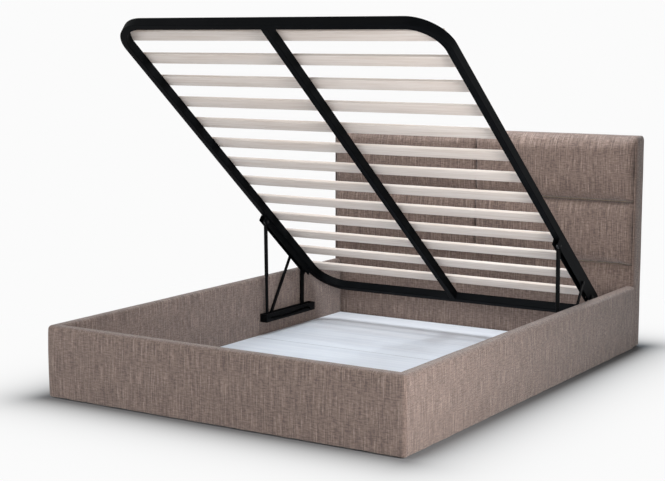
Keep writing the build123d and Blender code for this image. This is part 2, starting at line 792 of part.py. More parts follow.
def write_lid():
    """Tubes, brackets, slats and screws of the lid."""
    left_screws, middle_screws, right_screws = zip(*[row_screws(along) for along in slat_places])
    side_x = lid_half - tube_width / 2
    side_tube = tube_along_y(side_x, -lid_length + frame_corner_radius, -frame_corner_radius)
    side_tube = bolted_tube(side_tube)
    bracket = lid_bracket()
    bends = {"foot": tube_bend(True), "head": tube_bend(False)}
    for screw in right_screws:
        side_tube -= screw
        bends = {end: bend - screw for end, bend in bends.items()}
    for name, side in sides.items():
        save_lid(f"frame_side_tube_{name}", [on_side(side_tube, side)])
        save_lid(f"lid_bracket_{name}", [on_side(bracket, side)])
        for end, bend in bends.items():
            save_lid(f"frame_bend_{end}_{name}", [on_side(bend, side)])
    half_tube = tube_width / 2
    centre_bar = tube_along_y(0, -lid_length + tube_width, -tube_width)
    for screw in middle_screws:
        centre_bar -= screw
    save_lid("frame_foot_tube", [tube_along_x(-lid_length + half_tube, -lid_corner_x, lid_corner_x)])
    save_lid("frame_head_tube", [tube_along_x(-half_tube, -lid_corner_x, lid_corner_x)])
    save_lid("frame_centre_bar", [centre_bar])
    bolts = [bracket_bolt(along) for along in bracket_bolt_places()]
    pins = [rear_eye_pin(), strut_eye_pin()]
    save_lid("lid_bracket_bolts", [on_side(piece, side) for side in sides.values() for piece in bolts])
    save_lid("lid_pivot_pins", [on_side(piece, side) for side in sides.values() for piece in pins])
    for index, along in enumerate(slat_places):
        lath = slat(along)
        for screw in row_screws(along):
            lath -= screw
        save_lid(f"slat_row_{index + 1:02d}", [lath])
    save_lid("slat_screws", list(left_screws + middle_screws + right_screws))


if __name__ == "__main__":
    os.makedirs("parts", exist_ok=True)
    write_box()
    write_mechanism()
    write_lid()
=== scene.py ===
import json
import math

import bmesh
import bpy
from bpy.props import FloatProperty, FloatVectorProperty, IntProperty, PointerProperty
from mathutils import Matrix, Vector, noise


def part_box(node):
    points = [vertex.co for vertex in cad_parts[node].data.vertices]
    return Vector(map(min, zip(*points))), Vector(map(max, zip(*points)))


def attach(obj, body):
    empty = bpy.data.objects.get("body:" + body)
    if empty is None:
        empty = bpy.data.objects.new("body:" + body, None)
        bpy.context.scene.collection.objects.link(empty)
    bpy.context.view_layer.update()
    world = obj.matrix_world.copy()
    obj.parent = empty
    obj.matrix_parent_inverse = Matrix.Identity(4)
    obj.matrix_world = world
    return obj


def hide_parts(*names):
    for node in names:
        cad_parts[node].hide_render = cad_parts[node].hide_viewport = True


bl_info = {
    "name": "Storage bed with a slatted lid",
    "version": (1, 0, 0),
    "blender": (4, 5, 0),
    "location": "3D View > Sidebar > Bed",
    "description": "Dresses a storage bed: padded boards, headboard, slatted lid, mechanism and stage",
    "category": "Object",
}

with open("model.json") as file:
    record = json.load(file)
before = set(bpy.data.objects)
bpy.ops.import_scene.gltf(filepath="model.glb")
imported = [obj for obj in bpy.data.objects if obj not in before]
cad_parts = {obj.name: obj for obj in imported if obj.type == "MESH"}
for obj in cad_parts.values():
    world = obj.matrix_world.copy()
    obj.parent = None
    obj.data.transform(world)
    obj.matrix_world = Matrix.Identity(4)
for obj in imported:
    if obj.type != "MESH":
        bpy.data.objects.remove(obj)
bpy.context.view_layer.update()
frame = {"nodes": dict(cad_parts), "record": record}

# Boxes that the frame gives, in metres
FOOT_LOW, FOOT_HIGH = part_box("foot_board_cover")
SIDE_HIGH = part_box("side_board_cover_right")[1]
CORE_LOW, CORE_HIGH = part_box("side_board_core_right")
COVER_LOW, COVER_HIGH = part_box("headboard_cover")
PANEL_LOW, PANEL_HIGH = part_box("headboard_core")
LOWER_LOW, LOWER_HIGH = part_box("headboard_pad_lower")
MIDDLE_LOW, MIDDLE_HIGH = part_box("headboard_pad_middle_right")
TOP_LOW, TOP_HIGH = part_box("headboard_pad_top_right")
CHANNEL_LOW, CHANNEL_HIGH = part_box("base_channel_right")
PANEL_JOINTS = [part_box(f"storage_floor_panel_{name}")[1].y for name in ("foot", "middle")]

BOARD_THICKNESS = FOOT_HIGH.y - FOOT_LOW.y
BOARD_TOP = FOOT_HIGH.z
HEM_HEIGHT = FOOT_LOW.z - 0.002
HEADBOARD_FRONT = SIDE_HIGH.y


class BedCloth(bpy.types.PropertyGroup):
    """Sizes and colours of the upholstery."""
    thread_dark: FloatVectorProperty(
        name="Dark thread", description="Colour of the dark warp threads", subtype="COLOR",
        size=4, min=0, max=1, default=(0.103, 0.0690, 0.0560, 1))
    thread_body: FloatVectorProperty(
        name="Pale thread", description="Colour of the pale warp threads", subtype="COLOR",
        size=4, min=0, max=1, default=(0.228, 0.1610, 0.1320, 1))
    thread_light: FloatVectorProperty(
        name="Light slub", description="Colour of the thick pale slubs", subtype="COLOR",
        size=4, min=0, max=1, default=(0.345, 0.2660, 0.2260, 1))
    outer_edge_radius: FloatProperty(
        name="Outer edge radius", description="Rounding of a board's outer top edge",
        unit="LENGTH", default=0.017)
    inner_edge_radius: FloatProperty(
        name="Inner edge radius", description="Rounding of a board's inner top edge",
        unit="LENGTH", default=0.012)
    board_crown: FloatProperty(
        name="Board crown", description="How far a board's outer face bulges", unit="LENGTH", default=0.003)
    corner_radius: FloatProperty(
        name="Corner radius", description="Rounding of the sewn foot corners", unit="LENGTH", default=0.016)
    wander: FloatProperty(
        name="Wander", description="Unevenness of the padded faces", unit="LENGTH", default=0.0009)
    hem_wander: FloatProperty(
        name="Hem wander", description="Unevenness of the bottom hem", unit="LENGTH", default=0.0016)
    grid_step: FloatProperty(
        name="Grid step", description="Distance between the cloth's mesh lines",
        unit="LENGTH", default=0.012)
    pressure: FloatProperty(
        name="Filling pressure", description="Pressure inside the stuffed panels while they settle",
        default=4.0)
    settle_limit: FloatProperty(
        name="Settling limit", description="Farthest that a point of a panel may move while it settles",
        unit="LENGTH", default=0.005)
    stitch_pitch: FloatProperty(
        name="Stitch pitch", description="Distance between stitches", unit="LENGTH", default=0.0055)
    stitch_radius: FloatProperty(
        name="Stitch radius", description="Half the thickness of the sewing thread",
        unit="LENGTH", default=0.00045)


class BedLid(bpy.types.PropertyGroup):
    """Sizes of the slatted lid and its fasteners."""
    row_count: IntProperty(name="Rows", description="Rows of slats", default=13)
    row_pitch: FloatProperty(
        name="Row pitch", description="Distance between rows", unit="LENGTH", default=0.150)
    first_row: FloatProperty(
        name="First row", description="First row's distance from the head end",
        unit="LENGTH", default=0.147)
    slat_width: FloatProperty(
        name="Slat width", description="Width of a slat", unit="LENGTH", default=0.060)
    slat_thickness: FloatProperty(
        name="Slat thickness", description="Thickness of a slat", unit="LENGTH", default=0.013)
    slat_edge: FloatProperty(
        name="Slat edge", description="Rounding of a slat's edges", unit="LENGTH", default=0.002)
    screw_from_end: FloatProperty(
        name="Screw from end", description="Distance of the outer screws from a slat's end",
        unit="LENGTH", default=0.007)
    screw_offset: FloatProperty(
        name="Screw offset", description="Distance of the screws from a slat's middle line",
        unit="LENGTH", default=0.015)
    tube_height: FloatProperty(
        name="Tube height", description="Height of the frame's tube", unit="LENGTH", default=0.040)
    tilt: FloatProperty(
        name="Lid tilt", description="Tilt of the open lid", subtype="ANGLE", default=math.radians(39.2))
    corner: FloatVectorProperty(
        name="Lid corner", description="Head end of the open lid, at the underside of its tubes",
        subtype="TRANSLATION", size=3, default=(0, 0.814, 0.1757))
    seed: IntProperty(name="Seed", description="Seed of the differences between slats", default=7)


class BedLight(bpy.types.PropertyGroup):
    """Light and ground of the stage."""
    world: FloatProperty(
        name="Sky", description="Strength of the even light from all round", default=0.05)
    side: FloatProperty(name="Side", description="Power of the lamp at the right", default=56.5)
    rear: FloatProperty(
        name="Rear", description="Power of the lamp high behind the headboard", default=66.0)
    head: FloatProperty(name="Head", description="Power of the lamp above the headboard", default=64.0)
    low: FloatProperty(
        name="Low", description="Power of the low lamp in front at the left", default=108.0)
    front: FloatProperty(
        name="Front", description="Power of the lamp high in front at the left", default=58.0)
    ground: FloatVectorProperty(
        name="Ground", description="Colour of the ground", subtype="COLOR", size=4, min=0, max=1,
        default=(0.59, 0.59, 0.60, 1))
    # The ground is seen darker than the colour it lights with; together with the fade this paints a soft
    # shadow round the bed
    painted_shadow_ground: FloatVectorProperty(
        name="Ground seen", description="Colour of the ground as it is seen", subtype="COLOR", size=4,
        min=0, max=1, default=(0.22, 0.22, 0.223, 1))
    white: FloatProperty(
        name="White", description="Brightness of the seen surroundings", min=0, max=1, default=0.965)
    fade_start: FloatProperty(
        name="Fade start", description="Distance from the bed at which the ground starts to turn white",
        unit="LENGTH", default=0.012)
    fade_reach: FloatProperty(
        name="Fade reach", description="Distance over which most of the ground's tone fades",
        unit="LENGTH", default=0.15)


# Node trees
class Wire:
    """An output of a node, which sums take as a number."""

    def __init__(self, tree, socket):
        self.tree = tree
        self.socket = socket

    def __add__(self, other):
        return self.tree.sum("ADD", self, other)

    __radd__ = __add__

    def __sub__(self, other):
        return self.tree.sum("SUBTRACT", self, other)

    def __rsub__(self, other):
        return self.tree.sum("SUBTRACT", other, self)

    def __mul__(self, other):
        return self.tree.sum("MULTIPLY", self, other)

    __rmul__ = __mul__

    def __truediv__(self, other):
        return self.tree.sum("DIVIDE", self, other)

    def __pow__(self, other):
        return self.tree.sum("POWER", self, other)


class Tree:
    """Adds and links nodes in a material's, a world's or a shape's node tree."""

    def __init__(self, tree):
        self.tree = tree

    @staticmethod
    def _socket(sockets, key):
        if isinstance(key, int):
            return sockets[key]
        for socket in sockets:
            if socket.enabled and key in (socket.name, socket.identifier):
                return socket
        raise KeyError(key)

    def node(self, kind, settings=None, inputs=None, output=0):
        """A new node of a kind, with its settings, then its values or links; gives one of its outputs."""
        node = self.tree.nodes.new(kind)
        for key, value in (settings or {}).items():
            setattr(node, key, value)
        for key, value in (inputs or {}).items():
            socket = self._socket(node.inputs, key)
            if isinstance(value, Wire):
                self.tree.links.new(value.socket, socket)
            else:
                socket.default_value = value
        if output is None or not node.outputs:
            return node
        return Wire(self, self._socket(node.outputs, output))

    def sum(self, operation, *values):
        """A Math node on values or wires."""
        return self.node("ShaderNodeMath", {"operation": operation}, dict(enumerate(values)))

    def rise(self, value, low, high):
        """Nought below low, one above high, and smooth between."""
        return self.node("ShaderNodeMapRange", {"interpolation_type": "SMOOTHSTEP"},
                         {"Value": value, "From Min": low, "From Max": high})

    def parts(self, vector):
        """The three numbers of a vector."""
        node = self.node("ShaderNodeSeparateXYZ", None, {0: vector}, None)
        return [Wire(self, socket) for socket in node.outputs]

    def vector(self, x=0.0, y=0.0, z=0.0):
        """A vector from three numbers."""
        return self.node("ShaderNodeCombineXYZ", None, {0: x, 1: y, 2: z})

    def noise(self, vector, scale, detail=2.0, roughness=0.5, distortion=0.0):
        """Smooth noise from nought to one."""
        return self.node("ShaderNodeTexNoise", None, {
            "Vector": vector, "Scale": scale, "Detail": detail, "Roughness": roughness,
            "Distortion": distortion}, "Fac")

    def blend(self, factor, first, second):
        """Two colours mixed."""
        return self.node("ShaderNodeMix", {"data_type": "RGBA"},
                         {"Factor": factor, "A": first, "B": second}, "Result")

    def bump(self, height, distance, strength=1.0):
        """A surface direction from a height."""
        return self.node("ShaderNodeBump", None,
                         {"Height": height, "Distance": distance, "Strength": strength})


def first_node(tree, kind):
    """The node of a kind that a new tree already holds."""
    return next(node for node in tree.nodes if node.type == kind)


def finish_material(name, build, constants):
    """A material whose build function gives the sockets that change over the surface."""
    paint = bpy.data.materials.new(name)
    paint.use_nodes = True
    shader = first_node(paint.node_tree, "BSDF_PRINCIPLED")
    tree = Tree(paint.node_tree)
    for key, value in constants.items():
        shader.inputs[key].default_value = value
    for key, wire in build(tree).items():
        tree.tree.links.new(wire.socket, shader.inputs[key])
    return paint


materials = {}


def material(name):
    """The finished material of a name, made when it is first asked for."""
    if name not in materials:
        build, constants = FINISHES[name]
        materials[name] = finish_material(name, build, constants)
    return materials[name]


def cloth_finish(tree):
    """Slubbed woven cloth: thick and thin warp threads over a finer weft. The colour follows the same mask
    as the bump's height, so the hollows are darker partly by the dark threads' own colour and partly by
    painted shade.
    """
    cloth = bpy.context.scene.bed_cloth
    warp_pitch, weft_pitch, bend = 0.0016, 0.0019, 0.006
    across, along, _ = tree.parts(tree.node("ShaderNodeUVMap", {"uv_map": "cloth"}))
    drift = tree.noise(tree.vector(across * 4.0, along * 2.5), 1.0, 1.0)
    bent = across + (drift - 0.5) * bend
    slub = tree.noise(tree.vector(bent * 200.0, along * 10.0), 1.0, 2.0, 0.55)
    short = tree.noise(tree.vector(bent * 300.0 + 37.0, along * 70.0), 1.0, 2.0, 0.6)
    weft = tree.noise(tree.vector(across * 38.0, along * 200.0 + 11.0), 1.0, 2.0, 0.6)
    patch = tree.noise(tree.vector(across * 20.0, along * 14.0, 3.0), 1.0, 3.0, 0.6)
    warp_wave = tree.sum("SINE", bent * (2 * math.pi / warp_pitch))
    weave = warp_wave * tree.sum("SINE", along * (2 * math.pi / weft_pitch))
    tone = slub * 0.38 + short * 0.20 + weft * 0.34 + patch * 0.08
    # body is both the thread colour mask and part of the bump height: the low places get painted shade
    # along with the dark threads' own colour
    body = tree.rise(tone + weave * 0.012, 0.40, 0.60)
    thick = tree.rise(slub * 0.62 + weft * 0.18 + short * 0.2, 0.55, 0.66)
    colour = tree.blend(body, tuple(cloth.thread_dark), tuple(cloth.thread_body))
    colour = tree.blend(thick * 0.60, colour, tuple(cloth.thread_light))
    height = body * 0.6 + thick * 0.4 + short * 0.4 + weave * 0.22
    return {
        "Base Color": colour,
        "Roughness": 0.86 + short * 0.10,
        "Normal": tree.bump(height, 0.0010, 0.8),
    }


def mottled(tree, broad, fine, span, colours, roughness, bump):
    """Two colours that follow a broad noise, with its gloss, over the small bumps of a fine one.

    The noises are given by scale, detail and roughness; span is the part of the broad noise over
    which the colour changes, and roughness and bump are a start and a share, a height and a strength.
    """
    place = tree.node("ShaderNodeTexCoord", output="Object")
    spread = tree.noise(place, *broad)
    share = tree.rise(spread, *span) if span else spread
    return {
        "Base Color": tree.blend(share, *colours),
        "Roughness": roughness[0] + spread * roughness[1],
        "Normal": tree.bump(tree.noise(place, *fine), *bump),
    }


def thread_finish(tree):
    """Sewing thread in the cloth's colour."""
    colours = (0.20, 0.145, 0.115, 1), (0.34, 0.26, 0.21, 1)
    return mottled(tree, (900.0, 1.0), (900.0, 1.0), None, colours, (0.7, 0.2), (0.0002, 1.0))


def powder_coat(tree):
    """Black satin powder coat with fine orange peel, rubbed a little paler here and there."""
    colours = (0.0018, 0.0022, 0.0027, 1), (0.0036, 0.0040, 0.0046, 1)
    broad, fine = (9.0, 4.0, 0.6), (650.0, 2.0, 0.6)
    return mottled(tree, broad, fine, (0.45, 0.75), colours, (0.50, 0.14), (0.00025, 0.5))


def black_enamel(tree):
    """Smooth black enamel of the mechanism, a little worn."""
    colours = (0.0026, 0.0027, 0.0030, 1), (0.0058, 0.0059, 0.0063, 1)
    broad, fine = (22.0, 4.0, 0.65), (380.0, 3.0, 0.6)
    return mottled(tree, broad, fine, (0.5, 0.72), colours, (0.34, 0.16), (0.0002, 0.4))


def dark_steel(tree):
    """Blackened steel of pins, bolts and screws."""
    colours = (0.008, 0.008, 0.0085, 1), (0.020, 0.020, 0.020, 1)
    return mottled(tree, (160.0, 4.0, 0.65), (900.0, 2.0), None, colours, (0.52, 0.22), (0.0002, 0.5))


def zinc_steel(tree):
    """Zinc plated steel of the slat screws, clouded here and there."""
    colours = (0.40, 0.40, 0.38, 1), (0.66, 0.66, 0.63, 1)
    return mottled(tree, (240.0, 4.0, 0.65), (1200.0, 2.0), None, colours, (0.26, 0.22), (0.0002, 0.4))


def moulded_plastic(tree):
    """Moulded black plastic with a fine spark-eroded surface."""
    place = tree.node("ShaderNodeTexCoord", output="Object")
    fine = tree.noise(place, 1400.0, 2.0, 0.6)
    colour = tree.blend(tree.noise(place, 40.0, 2.0), (0.014, 0.014, 0.015, 1), (0.026, 0.026, 0.027, 1))
    return {"Base Color": colour, "Roughness": 0.45 + fine * 0.15, "Normal": tree.bump(fine, 0.0002, 0.6)}


def ground_rod(tree):
    """Ground steel of the strut rods, darkened by its hardening."""
    x, y, z = tree.parts(tree.node("ShaderNodeTexCoord", output="Object"))
    rings = tree.noise(tree.vector(x * 30.0, y * 30.0, z * 900.0), 1.0, 2.0)
    colour = tree.blend(rings, (0.050, 0.050, 0.052, 1), (0.085, 0.085, 0.087, 1))
    return {"Base Color": colour, "Roughness": 0.32 + rings * 0.10, "Normal": tree.bump(rings, 0.0001, 0.3)}


def slat_wood(tree):
    """Pale planed solid wood: fine grain along the slat with broader, fainter figure."""
    place = tree.node("ShaderNodeAttribute", {"attribute_name": "slat_place"}, output="Vector")
    x, y, z = tree.parts(place)
    tint = tree.node("ShaderNodeAttribute", {"attribute_name": "slat_tint"}, output="Fac")
    shifted = x + tint * 9.0
    grain = tree.noise(tree.vector(shifted * 4.0, y * 220.0 + tint * 40.0, z * 220.0), 1.0, 3.0, 0.6, 0.15)
    figure = tree.noise(tree.vector(shifted * 1.6, y * 30.0 + tint * 17.0, z * 30.0), 1.0, 3.0, 0.55, 0.6)
    pores = tree.noise(tree.vector(shifted * 60.0, y * 900.0, z * 900.0), 1.0, 2.0)
    colour = tree.blend(tree.rise(grain, 0.30, 0.72), (0.569, 0.479, 0.417, 1), (0.687, 0.614, 0.560, 1))
    colour = tree.blend(tree.rise(figure, 0.42, 0.70) * 0.40, colour, (0.731, 0.668, 0.622, 1))
    colour = tree.blend(tint * 0.22, colour, (0.633, 0.538, 0.473, 1))
    return {
        "Base Color": colour,
        "Roughness": 0.46 + grain * 0.16,
        "Normal": tree.bump(grain * 0.6 + pores * 0.4, 0.0003, 0.5),
    }


def white_panel(tree):
    """Bluish white faced hardboard, with faint stripes across the bed that are painted shadows and
    reflections of the slats, and a painted dark line of shade along each joint.
    """
    joint_half, joint_shade_half = 0.0012, 0.0045
    x, y, z = tree.parts(tree.node("ShaderNodeTexCoord", output="Object"))
    # painted stripes that stand in for the slats' shadows and reflections on the panels
    painted_slat_shadows = tree.noise(tree.vector(x * 1.6, y * 42.0, z * 10.0), 1.0, 4.0, 0.6)
    cloud = tree.noise(tree.vector(x * 3.0, y * 3.0, z), 1.0, 3.0, 0.55)
    fine = tree.noise(tree.vector(x * 300.0, y * 300.0, z * 300.0), 1.0, 2.0)
    colour = tree.blend(tree.rise(painted_slat_shadows, 0.35, 0.68), (0.755, 0.800, 0.870, 1), (0.835, 0.875, 0.930, 1))
    colour = tree.blend(tree.rise(cloud, 0.35, 0.7) * 0.35, colour, (0.800, 0.845, 0.910, 1))
    # painted shade of the narrow gaps between the panels, along each joint
    for joint in PANEL_JOINTS:
        near = 1.0 - tree.rise(tree.sum("ABSOLUTE", y - joint), joint_half, joint_shade_half)
        colour = tree.blend(near * 0.6, colour, (0.230, 0.240, 0.260, 1))
    return {"Base Color": colour, "Roughness": 0.34 + cloud * 0.14, "Normal": tree.bump(fine, 0.0002, 0.3)}


def chipboard(tree):
    """Raw chipboard: pale and dark chips pressed flat."""
    place = tree.node("ShaderNodeTexCoord", output="Object")
    chips = tree.node("ShaderNodeTexVoronoi", {"feature": "F1"}, {"Vector": place, "Scale": 260.0}, "Color")
    pale, _, _ = tree.parts(chips)
    dust = tree.noise(place, 900.0, 3.0, 0.7)
    colour = tree.blend(pale, (0.330, 0.225, 0.130, 1), (0.640, 0.495, 0.330, 1))
    colour = tree.blend(dust * 0.5, colour, (0.500, 0.370, 0.230, 1))
    bumps = tree.bump(pale + dust, 0.0004, 0.7)
    return {"Base Color": colour, "Roughness": 0.75 + dust * 0.15, "Normal": bumps}


def softwood(tree):
    """Planed softwood with rings drawn out along the batten."""
    x, y, z = tree.parts(tree.node("ShaderNodeTexCoord", output="Object"))
    rings = tree.noise(tree.vector(x * 2.0, y * 120.0, z * 120.0), 1.0, 3.0, 0.6, 0.4)
    fibre = tree.noise(tree.vector(x * 30.0, y * 900.0, z * 900.0), 1.0, 2.0)
    colour = tree.blend(tree.rise(rings, 0.35, 0.7), (0.640, 0.470, 0.285, 1), (0.420, 0.260, 0.130, 1))
    bumps = tree.bump(rings + fibre, 0.0003, 0.6)
    return {"Base Color": colour, "Roughness": 0.6 + fibre * 0.2, "Normal": bumps}


FINISHES = {
    "upholstery_fabric": (cloth_finish, {"Sheen Weight": 0.22, "Sheen Roughness": 0.5}),
    "sewing_thread": (thread_finish, {"Sheen Weight": 0.1}),
    "frame_black": (powder_coat, {"Specular IOR Level": 0.025}),
    "mechanism_black": (black_enamel, {"Specular IOR Level": 0.035}),
    "fastener_dark": (dark_steel, {"Metallic": 0.7, "Specular IOR Level": 0.2}),
    "rod_steel": (ground_rod, {"Metallic": 1.0}),
    "slat_wood": (slat_wood, {"Specular IOR Level": 0.35}),
    "slat_screw_steel": (zinc_steel, {"Metallic": 1.0}),
    "glide_plastic": (moulded_plastic, {"Specular IOR Level": 0.3}),
    "floor_panel_white": (white_panel, {}),
    "board_core": (chipboard, {}),
    "batten_wood": (softwood, {}),
}


# Meshes
def wander(x, y, seed, scale):
    """Smooth wandering between about -1 and 1, the same on every run."""
    return noise.noise(Vector((x * scale, y * scale, seed)))


def linked(name, data):
    """A new object in the scene for a mesh, a curve, a lamp or a camera."""
    thing = bpy.data.objects.new(name, data)
    bpy.context.scene.collection.objects.link(thing)
    return thing


def new_object(name, mesh, smooth_angle=math.radians(40)):
    """A new object for a mesh, shaded smooth up to an angle."""
    for polygon in mesh.polygons:
        polygon.use_smooth = True
    mesh.set_sharp_from_angle(angle=smooth_angle)
    return linked(name, mesh)


def mesh_from(name, shape):
    """A mesh from a bmesh, with its faces turned outwards."""
    bmesh.ops.recalc_face_normals(shape, faces=shape.faces[:])
    mesh = bpy.data.meshes.new(name)
    shape.to_mesh(mesh)
    shape.free()
    return mesh


def dress(piece, body, slot, replaced=(), finish=None):
    """Gives a piece its material, its body and the CAD nodes it stands for."""
    piece.data.materials.clear()
    piece.data.materials.append(material(finish or slot))
    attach(piece, body)
    if replaced:
        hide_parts(*replaced)


def arc(centre, radius, start, end, count):
    """Points of an arc in a section, angles in degrees."""
    points = []
    for index in range(count + 1):
        angle = math.radians(start + (end - start) * index / count)
        points.append((centre[0] + radius * math.cos(angle), centre[1] + radius * math.sin(angle)))
    return points


def board_section(cloth):
    """Depth and height of points round a board's cover, and how many of them lie on the outside."""
    hem, core_gap, lip, top_rise, rows = 0.004, 0.0004, 0.0002, 0.0004, 18
    crown, outer, inner = cloth.board_crown, cloth.outer_edge_radius, cloth.inner_edge_radius
    core_near = SIDE_HIGH.x - CORE_HIGH.x - core_gap
    core_far = SIDE_HIGH.x - CORE_LOW.x + core_gap
    core_top = CORE_HIGH.z + core_gap
    middle = (HEM_HEIGHT + BOARD_TOP) / 2
    half = (BOARD_TOP - HEM_HEIGHT) / 2
    points = arc((crown + hem, HEM_HEIGHT + hem), hem, 270, 180, 3)
    start, end = HEM_HEIGHT + hem, BOARD_TOP - outer
    for index in range(1, rows):
        height = start + (end - start) * index / rows
        points.append((crown * ((height - middle) / half) ** 2, height))
    points += arc((crown * 0.8 + outer, end), outer, 180, 90, 6)
    points.append(((crown + outer + BOARD_THICKNESS - inner) / 2, BOARD_TOP + top_rise))
    points += arc((BOARD_THICKNESS - inner, BOARD_TOP - inner), inner, 90, 0, 5)
    start, end = BOARD_TOP - inner, HEM_HEIGHT + hem
    for index in range(1, rows):
        points.append((BOARD_THICKNESS, start + (end - start) * index / rows))
    points += arc((BOARD_THICKNESS - hem, end), hem, 0, -90, 3)
    bottom = HEM_HEIGHT + lip
    hollow = [(core_far, bottom), (core_far, core_top), (core_near, core_top), (core_near, bottom)]
    return points + hollow, len(points)


def soft_corner(a, b, radius):
    """Moves a point near an outer corner, given by its distances from the two faces, onto a round one."""
    if a >= radius or b >= radius:
        return a, b
    reach = radius - min(a, b)
    lean = math.radians(45) * (radius - max(a, b)) / max(reach, 1e-9)
    low, high = radius - reach * math.cos(lean), radius - reach * math.sin(lean)
    return (high, low) if a > b else (low, high)


def end_steps(length, step):
    """Distances from a sewn end, close together near it and then even."""
    places = [0.0, 0.0012, 0.003, 0.006, 0.011, 0.018, 0.028]
    even_from = places[-1]
    count = round((length - even_from) / step)
    return places + [even_from + (length - even_from) * (index + 1) / count for index in range(count)]


def uneven(column, depth, height, seed, cloth):
    """A point of a board's cover, moved by the unevenness of its filling and its hem."""
    broad, fine, crest, ripple = 9.0, 31.0, 5.0, 17.0
    hem_reach, top_reach = 0.05, 0.03
    face = 1 if depth < BOARD_THICKNESS / 2 else -1
    move = cloth.wander * wander(column, height, seed + face, broad)
    move += 0.5 * cloth.wander * wander(column, height, seed + 5 + face, fine)
    low = max(0.0, 1 - (height - HEM_HEIGHT) / hem_reach)
    top = max(0.0, (height - BOARD_TOP + top_reach) / top_reach)
    height += top * 0.35 * cloth.wander * wander(column, 0, seed + 9, crest)
    height += low * cloth.hem_wander * (wander(column, 0, seed + 3, ripple) + 0.2)
    return depth + move * face, height


def board_cover(name, columns, place, seed, cloth):
    """Sweeps a board cover's section through columns; place gives a point from column, depth and height."""
    section, outside = board_section(cloth)
    shape = bmesh.new()
    lengths = [0.0]
    for before, after in zip(section, section[1:]):
        lengths.append(lengths[-1] + math.dist(before, after))
    loops = []
    for column in columns:
        loop = []
        for index, (depth, height) in enumerate(section):
            if index < outside:
                depth, height = uneven(column, depth, height, seed, cloth)
            loop.append(shape.verts.new(place(column, depth, height)))
        loops.append(loop)
    layer = shape.loops.layers.uv.new("cloth")
    count = len(section)
    for first, second, start, end in zip(loops, loops[1:], columns, columns[1:]):
        for index in range(count):
            after = (index + 1) % count
            face = shape.faces.new((first[index], first[after], second[after], second[index]))
            around = lengths[index], lengths[index] + math.dist(section[index], section[after])
            for corner, (u, v) in zip(face.loops, ((start, 0), (start, 1), (end, 1), (end, 0))):
                corner[layer].uv = (u, around[v])
    for loop in (loops[0], loops[-1]):
        cap = shape.faces.new(loop)
        bmesh.ops.triangulate(shape, faces=[cap], ngon_method="EAR_CLIP")
    return new_object(name, mesh_from(name, shape), math.radians(50))


def cuts(low, high, low_rim, high_rim, step, spread):
    """Places across a soft block, closer together over its rounded rims."""
    places = [low + low_rim * share for share in spread] if low_rim else [low]
    start, end = places[-1], high - high_rim
    count = max(1, round((end - start) / step))
    places += [start + (end - start) * (index + 1) / count for index in range(count)]
    if high_rim:
        places += [high - high_rim * share for share in reversed(spread[:-1])]
    return places


ROUND_SPREAD = [1 - math.tan(math.radians(angle)) for angle in (45, 34, 23, 11.5, 0)]
PILLOW_SPREAD = [1 - math.sin(math.radians(angle)) for angle in (90, 72, 56, 40, 26, 12, 0)]


def lattice(name, places, move):
    """A closed box of grids over places along x, y and z; move gives each lattice point its real place."""
    shape = bmesh.new()
    layer = shape.loops.layers.uv.new("cloth")
    counts = [len(one) for one in places]
    points = {}

    def point(index):
        if index not in points:
            spot = tuple(places[axis][index[axis]] for axis in range(3))
            points[index] = shape.verts.new(move(spot, index))
        return points[index]

    for axis in range(3):
        first, second = [other for other in range(3) if other != axis]
        for end in (0, counts[axis] - 1):
            for a in range(counts[first] - 1):
                for b in range(counts[second] - 1):
                    corners = []
                    for da, db in ((0, 0), (1, 0), (1, 1), (0, 1)):
                        index = [0, 0, 0]
                        index[axis], index[first], index[second] = end, a + da, b + db
                        corners.append(tuple(index))
                    face = shape.faces.new([point(index) for index in corners])
                    for corner, index in zip(face.loops, corners):
                        corner[layer].uv = (places[first][index[first]], places[second][index[second]])
    return mesh_from(name, shape)


def soft_block(name, low, high, rims, step, shift):
    """A padded block; rims give the rounding towards the low and high side of each axis."""
    places = [cuts(low[axis], high[axis], *rims[axis], step, ROUND_SPREAD) for axis in range(3)]

    def move(spot, index):
        base, lean, radii = [], [], []
        for axis in range(3):
            near = min(max(spot[axis], low[axis] + rims[axis][0]), high[axis] - rims[axis][1])
            radius = rims[axis][0] if spot[axis] < near else rims[axis][1]
            base.append(near)
            radii.append(radius)
            lean.append((spot[axis] - near) / radius if radius else 0.0)
        length = math.hypot(*lean)
        scale = max(abs(value) for value in lean) / length if length else 0.0
        out = Vector([b + n * scale * r for b, n, r in zip(base, lean, radii)])
        return out + shift(out)

    return lattice(name, places, move)


class Seam:
    """How a stuffed panel sinks towards one of its edges."""

    def __init__(self, radius, depth, belly=0.0, reach=0.1, share=1.0):
        self.radius = radius
        self.depth = depth
        self.belly = belly
        self.reach = reach
        self.share = share

    def sink(self, distance):
        """How deep the cloth lies at a distance from the edge."""
        lean = self.share * max(0.0, 1 - distance / self.radius)
        rest = max(0.0, 1 - distance / self.reach)
        return self.depth * (1 - math.sqrt(max(0.0, 1 - lean * lean))) + self.belly * rest * rest


def pillow_panel(name, low, high, seams, limit, step, seed, roughness=0.0006):
    """A stuffed panel whose front sinks into its seams, no deeper than a limit; its sides are straight."""
    broad, fine = 14.0, 37.0
    left, right, bottom, top = seams
    x_places = cuts(low[0], high[0], left.radius, right.radius, step, PILLOW_SPREAD)
    z_places = cuts(low[2], high[2], bottom.radius, top.radius, step, PILLOW_SPREAD)
    y_places = [low[1] + limit, (low[1] + limit + high[1]) / 2, high[1]]

    def move(spot, index):
        x, y, z = spot
        if index[1] == 0:
            depth = (left.sink(x - low[0]) + right.sink(high[0] - x)
                     + bottom.sink(z - low[2]) + top.sink(high[2] - z))
            y = low[1] + min(limit, depth)
            level = 1 - min(1.0, depth / limit)
            y -= level * roughness * (wander(x, z, seed, broad) + 0.5 * wander(x, z, seed + 1, fine))
        return (x, y, z)

    return lattice(name, (x_places, y_places, z_places), move)


